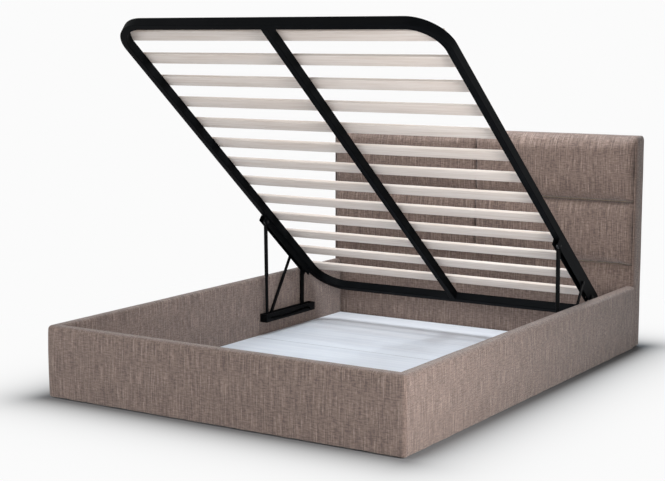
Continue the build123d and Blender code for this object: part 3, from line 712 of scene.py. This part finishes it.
def settle(piece, cloth, pinned_from):
    """Lets a stuffed panel fill out as cloth under pressure, held from a depth backwards."""
    last_frame = 20
    start = [vertex.co.copy() for vertex in piece.data.vertices]
    group = piece.vertex_groups.new(name="held")
    group.add([index for index, co in enumerate(start) if co.y >= pinned_from], 1.0, "REPLACE")
    modifier = piece.modifiers.new("settling", "CLOTH")
    settings = modifier.settings
    settings.quality = 6
    settings.mass = 0.25
    settings.tension_stiffness = 18
    settings.compression_stiffness = 12
    settings.shear_stiffness = 6
    settings.bending_stiffness = 1.2
    settings.use_pressure = True
    settings.uniform_pressure_force = cloth.pressure
    settings.shrink_min = -0.012
    settings.vertex_group_mass = group.name
    settings.effector_weights.gravity = 0
    modifier.collision_settings.use_collision = False
    modifier.collision_settings.use_self_collision = False
    modifier.point_cache.frame_start, modifier.point_cache.frame_end = 1, last_frame
    scene = bpy.context.scene
    for number in range(1, last_frame + 1):
        scene.frame_set(number)
    settled = piece.evaluated_get(bpy.context.evaluated_depsgraph_get())
    moved = [vertex.co.copy() for vertex in settled.data.vertices]
    piece.modifiers.remove(modifier)
    piece.vertex_groups.remove(group)
    scene.frame_set(1)
    for vertex, before, after in zip(piece.data.vertices, start, moved):
        step = after - before
        if step.length > cloth.settle_limit:
            step *= cloth.settle_limit / step.length
        vertex.co = before + step
    piece.data.update()


# Shapes that repeat
def shape_tree(name, **inputs):
    """A new Geometry Nodes tree with inputs named by kind; gives its helper and its input wires."""
    group = bpy.data.node_groups.new(name, "GeometryNodeTree")
    group.interface.new_socket("Geometry", in_out="INPUT", socket_type="NodeSocketGeometry")
    group.interface.new_socket("Geometry", in_out="OUTPUT", socket_type="NodeSocketGeometry")
    for kind, labels in inputs.items():
        for label in labels:
            group.interface.new_socket(label, in_out="INPUT", socket_type="NodeSocket" + kind)
    tree = Tree(group)
    entry = tree.node("NodeGroupInput", output=None)
    wires = {socket.name: Wire(tree, socket) for socket in entry.outputs if socket.name}
    return tree, wires


def end_tree(tree, geometry, paint):
    """Realizes the copies, gives them their material and ends the tree."""
    real = tree.node("GeometryNodeRealizeInstances", None, {"Geometry": geometry})
    painted = tree.node("GeometryNodeSetMaterial", None, {"Geometry": real, "Material": paint})
    tree.node("NodeGroupOutput", None, {"Geometry": painted}, None)


def grow(name, tree, values, source):
    """Runs a tree on a source mesh or curve and keeps what comes out as a plain mesh."""
    holder = linked(name + "_source", source)
    modifier = holder.modifiers.new("shape", "NODES")
    modifier.node_group = tree.tree
    for item in tree.tree.interface.items_tree:
        if item.item_type == "SOCKET" and item.in_out == "INPUT" and item.name in values:
            modifier[item.identifier] = values[item.name]
    bpy.context.view_layer.update()
    depsgraph = bpy.context.evaluated_depsgraph_get()
    mesh = bpy.data.meshes.new_from_object(holder.evaluated_get(depsgraph), depsgraph=depsgraph)
    mesh.name = name
    holder.modifiers.remove(modifier)
    bpy.data.objects.remove(holder)
    if not mesh.polygons:
        raise RuntimeError(f"the tree for {name} made no faces")
    return new_object(name, mesh)


def own_number(tree, label):
    """The number that a place carries under a label."""
    return tree.node("GeometryNodeInputNamedAttribute", {"data_type": "FLOAT"},
                     {"Name": label}, "Attribute")


def on_the_lid(tree, geometry, value):
    """Turned and moved from the flat lid's own place to the open lid's."""
    turn = tree.vector(0.0 - value["Tilt"])
    return tree.node("GeometryNodeTransform", None, {
        "Geometry": geometry, "Translation": value["Corner"], "Rotation": turn})


def slat_tree():
    """A straight slat on every given place, as long as its row, turned into the open lid's place."""
    tree, value = shape_tree(
        "slat_rows", Float=("Width", "Thickness", "Edge", "Half length", "Tilt"), Vector=("Corner",),
        Int=("Seed",), Material=("Material",))
    half, end_share, end_scale = value["Half length"], 0.75, 0.96
    ends = {"Start": tree.vector(0.0 - half), "End": tree.vector(half)}
    line = tree.node("GeometryNodeCurvePrimitiveLine", None, ends)
    line = tree.node("GeometryNodeResampleCurve", None, {"Curve": line, "Count": 5})
    x, _, _ = tree.parts(tree.node("GeometryNodeInputPosition"))
    inside = tree.sum("LESS_THAN", tree.sum("ABSOLUTE", x), half * end_share)
    outwards = tree.sum("SIGN", x) * inside * (half * 0.5 - value["Edge"] * 0.5)
    width = end_scale + inside * (1 - end_scale)
    line = tree.node("GeometryNodeSetCurveRadius", None, {"Curve": line, "Radius": width})
    line = tree.node("GeometryNodeSetPosition", None, {"Geometry": line, "Offset": tree.vector(outwards)})
    line = tree.node("GeometryNodeSetCurveNormal", {"mode": "Z_UP"}, {"Curve": line})
    section = tree.node("GeometryNodeCurvePrimitiveQuadrilateral", None, {
        "Width": value["Width"], "Height": value["Thickness"]})
    section = tree.node("GeometryNodeFilletCurve", {"mode": "POLY"}, {
        "Curve": section, "Count": 3, "Radius": value["Edge"]})
    slat = tree.node("GeometryNodeCurveToMesh", None, {
        "Curve": line, "Profile Curve": section, "Fill Caps": True})
    slat = tree.node("GeometryNodeStoreNamedAttribute", {"data_type": "FLOAT_VECTOR", "domain": "POINT"}, {
        "Geometry": slat, "Name": "slat_place", "Value": tree.node("GeometryNodeInputPosition")})
    reach = own_number(tree, "reach")
    copies = tree.node("GeometryNodeInstanceOnPoints", None, {
        "Points": value["Geometry"], "Instance": slat, "Scale": tree.vector(reach, 1.0, 1.0)})
    chance = tree.node("FunctionNodeRandomValue", {"data_type": "FLOAT"}, {
        "Min": 0.0, "Max": 1.0, "Seed": value["Seed"]}, "Value")
    copies = tree.node("GeometryNodeStoreNamedAttribute", {"data_type": "FLOAT", "domain": "INSTANCE"}, {
        "Geometry": copies, "Name": "slat_tint", "Value": chance})
    end_tree(tree, on_the_lid(tree, copies, value), value["Material"])
    return tree


def copies_tree():
    """Copies of a template on given places, turned about the upright axis, then tilted with the lid."""
    tree, value = shape_tree(
        "placed_copies", Object=("Template",), Float=("Tilt",), Vector=("Corner",), Material=("Material",))
    template = tree.node("GeometryNodeObjectInfo", None, {"Object": value["Template"]}, "Geometry")
    turn = own_number(tree, "turn")
    copies = tree.node("GeometryNodeInstanceOnPoints", None, {
        "Points": value["Geometry"], "Instance": template, "Rotation": tree.vector(0.0, 0.0, turn)})
    end_tree(tree, on_the_lid(tree, copies, value), value["Material"])
    return tree


def stitch_tree():
    """Short threads along seam lines, each lying a little differently."""
    swing = 0.10
    tree, value = shape_tree(
        "seam_stitches", Float=("Pitch", "Length", "Radius"), Int=("Seed",), Material=("Material",))
    points = tree.node("GeometryNodeCurveToPoints", {"mode": "LENGTH"}, {
        "Curve": value["Geometry"], "Length": value["Pitch"]}, None)
    half = value["Length"] * 0.5
    bulge = value["Radius"] * -1.6
    thread = tree.node("GeometryNodeCurvePrimitiveBezierSegment", None, {
        "Start": tree.vector(0.0, 0.0, 0.0 - half), "End": tree.vector(0.0, 0.0, half),
        "Start Handle": tree.vector(bulge, 0.0, 0.0 - half * 0.5),
        "End Handle": tree.vector(bulge, 0.0, half * 0.5), "Resolution": 4})
    section = tree.node("GeometryNodeCurvePrimitiveCircle", None, {
        "Resolution": 6, "Radius": value["Radius"]})
    thread = tree.node("GeometryNodeCurveToMesh", None, {
        "Curve": thread, "Profile Curve": section, "Fill Caps": True})
    chance = tree.node("FunctionNodeRandomValue", {"data_type": "FLOAT_VECTOR"}, {
        "Min": (-swing,) * 3, "Max": (swing,) * 3, "Seed": value["Seed"]}, "Value")
    turned = tree.node("FunctionNodeRotateRotation", {"rotation_space": "LOCAL"}, {
        "Rotation": Wire(tree, points.outputs["Rotation"]), "Rotate By": chance})
    copies = tree.node("GeometryNodeInstanceOnPoints", None, {
        "Points": Wire(tree, points.outputs["Points"]), "Instance": thread, "Rotation": turned})
    end_tree(tree, copies, value["Material"])
    return tree


def places_mesh(name, places, label="turn"):
    """A mesh of loose points, each with a number such as its turn about the upright axis."""
    mesh = bpy.data.meshes.new(name)
    mesh.from_pydata([place for place, _ in places], [], [])
    numbers = mesh.attributes.new(label, "FLOAT", "POINT")
    for index, (_, number) in enumerate(places):
        numbers.data[index].value = number
    return mesh


def place_copies(name, template, places, paint, lid=None):
    """Copies of a template mesh at places, in the lid's open place where a lid is given."""
    stamp = linked(name + "_template", template)
    values = {"Template": stamp, "Material": material(paint), "Tilt": 0.0, "Corner": (0.0, 0.0, 0.0)}
    if lid:
        values["Tilt"] = lid.tilt
        values["Corner"] = tuple(lid.corner)
    piece = grow(name, copies_tree(), values, places_mesh(name + "_places", places))
    bpy.data.objects.remove(stamp)
    return piece


def ring(shape, radius, place, count=24):
    """Points round an axis, at a radius or at what a function gives for each; place makes them points."""
    points = []
    for index in range(count):
        angle = 2 * math.pi * index / count
        reach = radius(index, angle) if callable(radius) else radius
        points.append(shape.verts.new(place(reach * math.cos(angle), reach * math.sin(angle))))
    return points


def join_rings(shape, rings):
    """Faces between each ring of points and the next; a ring of one point is a tip."""
    for first, second in zip(rings, rings[1:]):
        count = max(len(first), len(second))
        for index in range(count):
            after = (index + 1) % count
            corners = (first[index % len(first)], first[after % len(first)],
                       second[after % len(second)], second[index % len(second)])
            shape.faces.new(tuple(dict.fromkeys(corners)))


def lathe(name, outline, count=24):
    """A solid turned about X from a list of distance along X and radius."""
    shape = bmesh.new()
    rings = []
    for x, radius in outline:
        rings.append(ring(shape, radius, lambda y, z: (x, y, z), count if radius else 1))
    join_rings(shape, rings)
    return mesh_from(name, shape)


def dome(face, radius, rise, towards, steps=4):
    """Outline of a rivet's head on a face, in the order of X: a short straight rim, then a dome."""
    rim = rise * 0.3
    points = []
    for index in range(steps + 1):
        angle = math.radians(90 * index / steps)
        across = radius * math.cos(angle) if index < steps else 0
        points.append((face + towards * (rim + (rise - rim) * math.sin(angle)), across))
    return points if towards > 0 else points[::-1]


def hex_head(name, across, height, shank_radius, shank_length, washer):
    """A bolt with a chamfered six-sided head below zero and its shank above it."""
    washer_rise, chamfer = 0.0008, across / 2 * 0.93
    shape = bmesh.new()

    def six_sided(index, angle):
        side = (angle + math.pi / 6) % (math.pi / 3) - math.pi / 6
        return across / 2 / math.cos(side)

    levels = ((chamfer, -height), (six_sided, -height * 0.82), (six_sided, 0), (washer, 0),
              (washer, washer_rise), (shank_radius, washer_rise), (shank_radius, shank_length))
    rings = [ring(shape, radius, lambda x, y, z=z: (x, y, z)) for radius, z in levels]
    join_rings(shape, rings)
    shape.faces.new(rings[0])
    shape.faces.new(rings[-1])
    return mesh_from(name, shape)


def cross_screw(name, radius, shank_radius, depth, rise):
    """A countersunk screw head with a cross recess, its rim at zero and its shank below."""
    shape = bmesh.new()
    arm, waist, taper = radius * 0.56, radius * 0.20, 0.72

    def cross(index, angle):
        return arm if abs((index + 3) % 6 - 3) <= 1 else waist

    levels = ((shank_radius, -depth), (radius, 0), (radius * 0.93, rise), (cross, rise),
              (lambda index, angle: taper * cross(index, angle), rise - depth * 0.5))
    rings = [[shape.verts.new((0, 0, -depth * 1.1))]]
    rings += [ring(shape, reach, lambda x, y, z=z: (x, y, z)) for reach, z in levels]
    rings.append([shape.verts.new((0, 0, rise - depth * 0.62))])
    join_rings(shape, rings)
    return mesh_from(name, shape)


# Operators
class BED_OT_box_covers(bpy.types.Operator):
    """Make the padded covers of the foot board and the side boards."""
    bl_idname = "bed.box_covers"
    bl_label = "Board covers"

    def execute(self, context):
        cloth = context.scene.bed_cloth
        half_width = SIDE_HIGH.x
        taper, end_gap = 0.1, 0.0005
        right = [half_width - place for place in end_steps(half_width, cloth.grid_step)]
        columns = [-place for place in right] + right[::-1][1:]

        def foot_place(x, depth, height):
            from_end = half_width - abs(x)
            a = from_end + depth * max(0.0, 1 - from_end / taper)
            a, b = soft_corner(a, depth, cloth.corner_radius)
            return (math.copysign(half_width - a, x), FOOT_LOW.y + b, height)

        piece = board_cover("foot_board_cover_padded", columns, foot_place, 1.7, cloth)
        dress(piece, "bed_box", "upholstery_fabric", ("foot_board_cover",))
        length = HEADBOARD_FRONT - end_gap - FOOT_LOW.y
        rows = [FOOT_LOW.y + place for place in end_steps(length, cloth.grid_step)]
        for side, word, seed in ((-1, "left", 21.3), (1, "right", 42.9)):

            def side_place(y, depth, height):
                from_end = y - FOOT_LOW.y
                b = from_end + depth * max(0.0, 1 - from_end / taper)
                b, a = soft_corner(b, depth, cloth.corner_radius)
                return (side * (half_width - a), FOOT_LOW.y + b, height)

            piece = board_cover(f"side_board_cover_padded_{word}", rows, side_place, seed, cloth)
            dress(piece, "bed_box", "upholstery_fabric", (f"side_board_cover_{word}",))
        return {"FINISHED"}


class BED_OT_headboard(bpy.types.Operator):
    """Make the headboard's stuffed panels and its outer cover."""
    bl_idname = "bed.headboard"
    bl_label = "Headboard"

    def execute(self, context):
        cloth = context.scene.bed_cloth
        gap, play, front_gap, hold_gap = 0.0006, 0.001, 0.002, 0.0005
        limit = 0.041
        back = PANEL_LOW.y - play
        half = MIDDLE_HIGH.x - gap
        middle_seam = Seam(0.014, 0.006, 0.003, 0.12)
        outer_end = Seam(0.036, 0.014)
        upper_side = Seam(0.022, 0.013, 0.014, 0.085)
        lower_side = Seam(0.028, 0.013, 0.014, 0.12)
        roll = Seam(0.049, 0.050, share=0.98)
        rows = (
            ("middle", MIDDLE_LOW, MIDDLE_HIGH.z - gap, (lower_side, upper_side), 3.1),
            ("top", TOP_LOW, TOP_HIGH.z - play, (lower_side, roll), 8.4),
        )
        for row, low, top, z_seams, seed in rows:
            front = low.y + front_gap
            for side, word in ((-1, "left"), (1, "right")):
                x_low, x_high = (gap, half) if side > 0 else (-half, -gap)
                x_seams = (middle_seam, outer_end) if side > 0 else (outer_end, middle_seam)
                name = f"headboard_panel_{row}_{word}"
                mesh = pillow_panel(name, (x_low, front, low.z + gap), (x_high, back, top),
                                    x_seams + z_seams, limit, cloth.grid_step, seed + side)
                piece = new_object(name, mesh, math.radians(60))
                settle(piece, cloth, front + limit + hold_gap)
                subdivide(piece)
                dress(piece, "bed_box", "upholstery_fabric", (f"headboard_pad_{row}_{word}",))
        self.lower_panel(cloth, half, back, gap)
        self.cover(cloth, gap)
        return {"FINISHED"}

    def lower_panel(self, cloth, half, back, gap):
        """The flatter panel between the storage box and the crease."""
        set_back, limit, roughness, seed = 0.0080, 0.0135, 0.0003, 15.2
        end, hem, crease = Seam(0.036, 0.004), Seam(0.004, 0.004), Seam(0.016, 0.010, 0.004, 0.09)
        low = (-half, LOWER_LOW.y + set_back, LOWER_LOW.z)
        high = (half, back, LOWER_HIGH.z - gap)
        seams = (end, end, hem, crease)
        name = "headboard_panel_lower"
        mesh = pillow_panel(name, low, high, seams, limit, cloth.grid_step, seed, roughness)
        piece = new_object(name, mesh, math.radians(60))
        dress(piece, "bed_box", "upholstery_fabric", ("headboard_pad_lower",))

    def cover(self, cloth, gap):
        """The outer cover: two side strips, the top strip and the back, sewn at their edges."""
        seam, edge, bottom, strip_edge, strip_front, strip_top = 0.0022, 0.009, 0.003, 0.0118, 0.036, 0.024
        front_gap, back_lip, top_lip = 0.004, 0.0003, 0.0004
        inner = PANEL_HIGH.x + gap
        low, high = COVER_LOW, COVER_HIGH
        strip_rims = ((strip_front, edge), (bottom, strip_top))

        def unevenness(seed):
            def shift(spot):
                amount = cloth.wander * wander(spot.x + spot.y, spot.z, seed, 8.0)
                return Vector((0.5 * amount if abs(spot.x) > inner else 0, 0.8 * amount, 0.3 * amount))
            return shift

        blocks = [
            ((inner, low.y + front_gap, low.z), (high.x, high.y, high.z),
             ((0, strip_edge), *strip_rims), 51.0),
            ((low.x, low.y + front_gap, low.z), (-inner, high.y, high.z),
             ((strip_edge, 0), *strip_rims), 57.0),
            ((-inner + gap, PANEL_HIGH.y + gap, low.z), (inner - gap, high.y - back_lip, high.z),
             ((seam, seam), (0, edge), (bottom, edge)), 61.0),
            ((-inner + gap, PANEL_LOW.y, PANEL_HIGH.z + gap),
             (inner - gap, PANEL_HIGH.y - gap, high.z - top_lip),
             ((seam, seam), (seam, seam), (0, seam)), 67.0),
        ]
        joined = bmesh.new()
        for start, end, rims, seed in blocks:
            mesh = soft_block("cover_part", start, end, rims, cloth.grid_step, unevenness(seed))
            joined.from_mesh(mesh)
            bpy.data.meshes.remove(mesh)
        mesh = bpy.data.meshes.new("headboard_outer_cover")
        joined.to_mesh(mesh)
        joined.free()
        piece = new_object("headboard_outer_cover", mesh, math.radians(50))
        dress(piece, "bed_box", "upholstery_fabric", ("headboard_cover",))


def subdivide(piece):
    """One level of subdivision, the same in the view and in a render."""
    modifier = piece.modifiers.new("smooth cloth", "SUBSURF")
    modifier.levels = modifier.render_levels = 1
    modifier.subdivision_type = "CATMULL_CLARK"
    modifier.boundary_smooth = "PRESERVE_CORNERS"
    modifier.uv_smooth = "NONE"


class BED_OT_seams(bpy.types.Operator):
    """Sew the stitches of the headboard's seams and of the foot corners."""
    bl_idname = "bed.seams"
    bl_label = "Seam stitches"

    def execute(self, context):
        cloth = context.scene.bed_cloth
        level, upright = MIDDLE_LOW.y + 0.0280, MIDDLE_LOW.y + 0.0100
        above_crease, below_crease, below_roll = 0.060, 0.050, 0.055
        end_gap, hem_gap, top_gap = 0.004, 0.012, 0.03
        half = MIDDLE_HIGH.x - end_gap
        lower, upper = MIDDLE_LOW.z, MIDDLE_HIGH.z
        lines = [
            [(-half, level, upper), (half, level, upper)],
            [(-half, level, lower), (half, level, lower)],
            [(0, upright, lower + above_crease), (0, upright, upper - below_crease)],
            [(0, upright, upper + above_crease), (0, upright, TOP_HIGH.z - below_roll)],
        ]
        cut = cloth.corner_radius * 0.29
        outer, front = SIDE_HIGH.x - cut, FOOT_LOW.y + cut
        spread = cloth.board_crown * 0.5
        corner = ((spread, HEM_HEIGHT + hem_gap), (spread * 0.2, BOARD_TOP / 2),
                  (spread, BOARD_TOP - top_gap))
        for side in (-1, 1):
            lines.append([(side * (outer - inset), front + inset, height) for inset, height in corner])
        curve = bpy.data.curves.new("seam_lines", "CURVE")
        curve.dimensions = "3D"
        for line in lines:
            spline = curve.splines.new("POLY")
            spline.points.add(len(line) - 1)
            for point, spot in zip(spline.points, line):
                point.co = (*spot, 1)
        piece = grow("seam_stitches", stitch_tree(), {
            "Pitch": cloth.stitch_pitch, "Length": cloth.stitch_pitch * 0.72,
            "Radius": cloth.stitch_radius, "Seed": 11, "Material": material("sewing_thread")}, curve)
        dress(piece, "bed_box", "upholstery_fabric", finish="sewing_thread")
        return {"FINISHED"}


class BED_OT_slats(bpy.types.Operator):
    """Lay the rows of slats and put in their screws."""
    bl_idname = "bed.slats"
    bl_label = "Slats"

    def execute(self, context):
        lid = context.scene.bed_lid
        names = [f"slat_row_{row + 1:02d}" for row in range(lid.row_count)]
        halves = [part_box(name)[1].x for name in names]
        half = max(halves)
        height = lid.tube_height + lid.slat_thickness / 2
        rows = [-lid.first_row - row * lid.row_pitch for row in range(lid.row_count)]
        places = [((0, y, height), reach / half) for y, reach in zip(rows, halves)]
        piece = grow("slats", slat_tree(), {
            "Width": lid.slat_width, "Thickness": lid.slat_thickness, "Edge": lid.slat_edge,
            "Half length": half, "Tilt": lid.tilt, "Corner": tuple(lid.corner), "Seed": lid.seed,
            "Material": material("slat_wood")}, places_mesh("slat_places", places, "reach"))
        dress(piece, "lift_frame", "slat_wood", names)
        spots = []
        for y, reach in zip(rows, halves):
            towards_end = lid.screw_offset if y > (rows[0] + rows[-1]) / 2 else -lid.screw_offset
            across = reach - lid.screw_from_end
            for x in (-across, 0, across):
                turn = 0.7 * x + 9.0 * y
                spots.append(((x, y + towards_end, lid.tube_height + lid.slat_thickness), turn))
        template = cross_screw("slat_screw", radius=0.0045, shank_radius=0.00225, depth=0.0025, rise=0.0003)
        fasten("slat_screws_crossed", template, spots, "slat_screws", lid, "slat_screw_steel")
        return {"FINISHED"}


def fasten(name, template, places, node, lid=None, slot="fastener_dark"):
    """Copies of a fastener in place of a CAD node, on the box, or on the lid where one is given."""
    piece = place_copies(name, template, places, slot, lid)
    dress(piece, "lift_frame" if lid else "bed_box", slot, (node,))


def both_sides(spots):
    """Places on the right and, turned half round, on the left."""
    places = []
    for x, y, z in spots:
        places += [((x, y, z), 0.0), ((-x, y, z), math.pi)]
    return places


class BED_OT_fasteners(bpy.types.Operator):
    """Make the pivot pins, the bracket bolts and the channel screws."""
    bl_idname = "bed.fasteners"
    bl_label = "Pins, bolts and screws"

    def execute(self, context):
        lid = context.scene.bed_lid
        pin, head, rise, gap = 0.005, 0.008, 0.0027, 0.0002
        link_inner, link_outer, board_inner, wall = 0.764, 0.770, 0.775, 0.003
        rear_pivot, front_pivot, pivot_height = 0.6481, 0.3698, 0.102
        link = link_outer - link_inner + 2 * gap
        channel = board_inner - wall - link_inner + gap
        end = board_inner - link_inner + gap
        base = dome(0, head, rise, -1)
        base += [(0, head), (0, pin), (link, pin), (link, head), (channel, head), (channel, pin),
                 (end, pin), (end, 0)]
        spots = [(link_inner - gap, y, pivot_height) for y in (rear_pivot, front_pivot)]
        fasten("base_pivot_rivets", lathe("base_rivet", base), both_sides(spots), "base_pivot_pins")
        self.lid_pins(lid, pin, head, rise, link_outer + gap)
        self.bracket_bolts(lid, wall)
        self.channel_screws(board_inner, wall)
        return {"FINISHED"}

    def lid_pins(self, lid, pin, head, rise, link_face):
        """The pins of the rear links' and the struts' upper eyes."""
        flange, bracket_inner, bracket_outer = 0.760, 0.736, 0.763
        rear = dome(flange, head, rise, -1)
        rear += [(flange, head), (flange, pin), (link_face, pin), (link_face, head)]
        rear += dome(link_face, head, rise, 1)
        strut = dome(bracket_inner, head, rise, -1)
        strut += [(bracket_inner, head), (bracket_inner, pin), (bracket_outer, pin), (bracket_outer, 0)]
        for name, outline, along, drop in (("rear", rear, 0.202, 0.0125), ("strut", strut, 0.634, 0.0155)):
            template = lathe(name + "_pin", outline)
            fasten(f"lid_{name}_pins", template, both_sides([(0, -along, -drop)]), "lid_pivot_pins", lid)

    def bracket_bolts(self, lid, wall):
        """Six-sided bolts that hold the brackets under the side tubes."""
        tube_middle, bracket_start, bracket_length = 0.750, 0.175, 0.493
        template = hex_head("bracket_bolt", across=0.012, height=0.004, shank_radius=0.004,
                            shank_length=wall + 0.006, washer=0.0065)
        spots = [(tube_middle, -(bracket_start + bracket_length * share), -wall)
                 for share in (0.16, 0.42, 0.68)]
        fasten("lid_bracket_hex_bolts", template, both_sides(spots), "lid_bracket_bolts", lid)

    def channel_screws(self, board_inner, wall):
        """Countersunk screws with a round socket through the channels' outer flange."""
        socket_floor, socket, rim, shank, tip_start, tip = wall * 0.72, 0.0019, 0.0050, 0.003, 0.034, 0.036
        outline = [(socket_floor, 0), (socket_floor, 0.0016), (0.0, socket), (0.0, rim), (0.0003, 0.0055),
                   (wall, shank), (tip_start, shank), (tip, 0)]
        length = CHANNEL_HIGH.y - CHANNEL_LOW.y
        height = (CHANNEL_LOW.z + CHANNEL_HIGH.z) / 2
        spots = [(board_inner - wall, CHANNEL_LOW.y + share * length, height)
                 for share in (0.07, 0.42, 0.60, 0.95)]
        template = lathe("channel_screw", outline, 18)
        fasten("base_channel_countersunk_screws", template, both_sides(spots), "base_channel_screws")


class BED_OT_kept_parts(bpy.types.Operator):
    """Paint the tubes, brackets, links, struts, panels and cores that keep their CAD shape."""
    bl_idname = "bed.kept_parts"
    bl_label = "Frame, mechanism and panels"

    def execute(self, context):
        slots = {part["node"]: part["material_slot"] for part in frame["record"]["subparts"]}
        for name, node in frame["nodes"].items():
            slot = slots[name]
            if slot == "upholstery_fabric" or node.hide_render:
                continue
            node.data.materials.clear()
            node.data.materials.append(material(slot))
        return {"FINISHED"}


class BED_OT_stage(bpy.types.Operator):
    """Set up the ground, the lights, the white surroundings and the camera."""
    bl_idname = "bed.stage"
    bl_label = "Stage"

    def execute(self, context):
        light = context.scene.bed_light
        self.ground(light)
        self.surroundings(context.scene, light)
        lamps = (
            ("side", (2.5, -1.35, 0.8), (0.8, -1.1, 0.15), 0.9, (1.02, 1.02, 1.02)),
            ("rear", (-0.5, 2.7, 4.4), (0.0, 0.0, 0.0), 2.0, (0.80, 1.02, 1.18)),
            ("head", (0.1, 0.75, 2.7), (0.2, 1.0, 0.6), 0.9, (0.97, 1.0, 1.03)),
            ("low", (-1.2, -4.6, 1.8), (0.0, 0.2, 0.4), 2.2, (0.93, 1.01, 1.06)),
            ("front", (-2.2, -3.6, 3.4), (0.0, 0.4, 0.4), 2.0, (1.10, 0.98, 0.92)),
        )
        for name, place, target, size, colour in lamps:
            self.lamp(name + "_lamp", place, target, size, getattr(light, name), colour)
        self.camera(context.scene)
        context.scene.view_settings.view_transform = "Standard"
        return {"FINISHED"}

    def seen(self, tree):
        """One for what the camera, a gloss or a clear thing sees, nought for light."""
        rays = tree.node("ShaderNodeLightPath", output=None)
        camera, glossy, through = [
            Wire(tree, rays.outputs[f"Is {name} Ray"]) for name in ("Camera", "Glossy", "Transmission")]
        return tree.sum("MINIMUM", camera + glossy + through, 1.0)

    def ground(self, light):
        """A wide ground that takes the bed's shadow, is seen darker than it lights, and fades to white with
        distance from the bed's footprint, so that a painted soft shadow lies round the bed on top of the
        real one.
        """
        size, fade_power = 30.0, 1.15
        mesh = bpy.data.meshes.new("ground")
        corners = [(-size, -size, 0), (size, -size, 0), (size, size, 0), (-size, size, 0)]
        mesh.from_pydata(corners, [], [(0, 1, 2, 3)])
        ground = linked("ground", mesh)
        paint = bpy.data.materials.new("ground")
        paint.use_nodes = True
        shader = first_node(paint.node_tree, "BSDF_PRINCIPLED")
        output = first_node(paint.node_tree, "OUTPUT_MATERIAL")
        shader.inputs["Roughness"].default_value = 0.9
        shader.inputs["Specular IOR Level"].default_value = 0.1
        tree = Tree(paint.node_tree)
        # seen in a darker colour than the one it lights with: painted shade near the bed
        shade = tree.blend(self.seen(tree), tuple(light.ground), tuple(light.painted_shadow_ground))
        tree.tree.links.new(shade.socket, shader.inputs["Base Color"])
        # the fade to white with distance from the footprint turns the painted shade into a soft shadow
        # round the bed
        x, y, _ = tree.parts(tree.node("ShaderNodeTexCoord", output="Object"))
        beyond_x = tree.sum("MAXIMUM", tree.sum("ABSOLUTE", x) - SIDE_HIGH.x, 0.0)
        beyond_y = tree.sum("MAXIMUM", tree.sum("ABSOLUTE", y) - COVER_HIGH.y, 0.0)
        distance = tree.sum("SQRT", beyond_x * beyond_x + beyond_y * beyond_y)
        away = tree.sum("MAXIMUM", distance - light.fade_start, 0.0)
        far = 1.0 - tree.sum("EXPONENT", (away / light.fade_reach) ** fade_power * -1.0)
        white = tree.node("ShaderNodeEmission", None, {"Color": (1, 1, 1, 1), "Strength": light.white})
        mixed = tree.node("ShaderNodeMixShader", None, {
            0: far * self.seen(tree), 1: Wire(tree, shader.outputs[0]), 2: white})
        tree.tree.links.new(mixed.socket, output.inputs["Surface"])
        mesh.materials.append(paint)

    def surroundings(self, scene, light):
        """Even light from all round, and white where it is seen."""
        world = bpy.data.worlds.new("surroundings")
        scene.world = world
        world.use_nodes = True
        tree = Tree(world.node_tree)
        background = first_node(world.node_tree, "BACKGROUND")
        background.inputs["Color"].default_value = (1, 1, 1, 1)
        seen = self.seen(tree)
        strength = seen * light.white + (1.0 - seen) * light.world
        tree.tree.links.new(strength.socket, background.inputs["Strength"])

    def lamp(self, name, place, target, size, power, colour):
        """A wide soft lamp that points at a place."""
        data = bpy.data.lights.new(name, "AREA")
        data.shape = "SQUARE"
        data.size = size
        data.energy = power
        data.color = colour
        lamp = linked(name, data)
        lamp.visible_camera = False
        lamp.location = place
        lamp.rotation_euler = (Vector(target) - Vector(place)).to_track_quat("-Z", "Y").to_euler()

    def camera(self, scene):
        """The camera, at the photograph's viewing angle."""
        sensor, focal_pixels, photo_width = 36, 1480.2439, 665
        data = bpy.data.cameras.new("camera")
        data.sensor_width = sensor
        data.lens = sensor * focal_pixels / photo_width
        camera = linked("camera", data)
        camera.location = (3.2533, -5.3922, 1.4395)
        camera.rotation_euler = [math.radians(angle) for angle in (82.1156, 0, 32.4509)]
        scene.camera = camera


OPERATORS = (BED_OT_box_covers, BED_OT_headboard, BED_OT_seams, BED_OT_slats, BED_OT_fasteners,
             BED_OT_kept_parts, BED_OT_stage)


class BED_PT_steps(bpy.types.Panel):
    """Lists the steps that dress the bed."""
    bl_idname = "BED_PT_steps"
    bl_label = "Storage bed"
    bl_space_type = "VIEW_3D"
    bl_region_type = "UI"
    bl_category = "Bed"

    def draw(self, context):
        for step in OPERATORS:
            self.layout.operator(step.bl_idname)
        for group in (context.scene.bed_cloth, context.scene.bed_lid, context.scene.bed_light):
            box = self.layout.box()
            for name in group.bl_rna.properties.keys():
                if name not in ("rna_type", "name"):
                    box.prop(group, name)


CLASSES = (BedCloth, BedLid, BedLight, *OPERATORS, BED_PT_steps)


def register():
    for one in CLASSES:
        bpy.utils.register_class(one)
    bpy.types.Scene.bed_cloth = PointerProperty(type=BedCloth)
    bpy.types.Scene.bed_lid = PointerProperty(type=BedLid)
    bpy.types.Scene.bed_light = PointerProperty(type=BedLight)


def unregister():
    del bpy.types.Scene.bed_cloth, bpy.types.Scene.bed_lid, bpy.types.Scene.bed_light
    for one in reversed(CLASSES):
        bpy.utils.unregister_class(one)


def main():
    """Runs every step."""
    register()
    for step in OPERATORS:
        group, name = step.bl_idname.split(".")
        getattr(getattr(bpy.ops, group), name)()


if __name__ == "__main__":
    main()
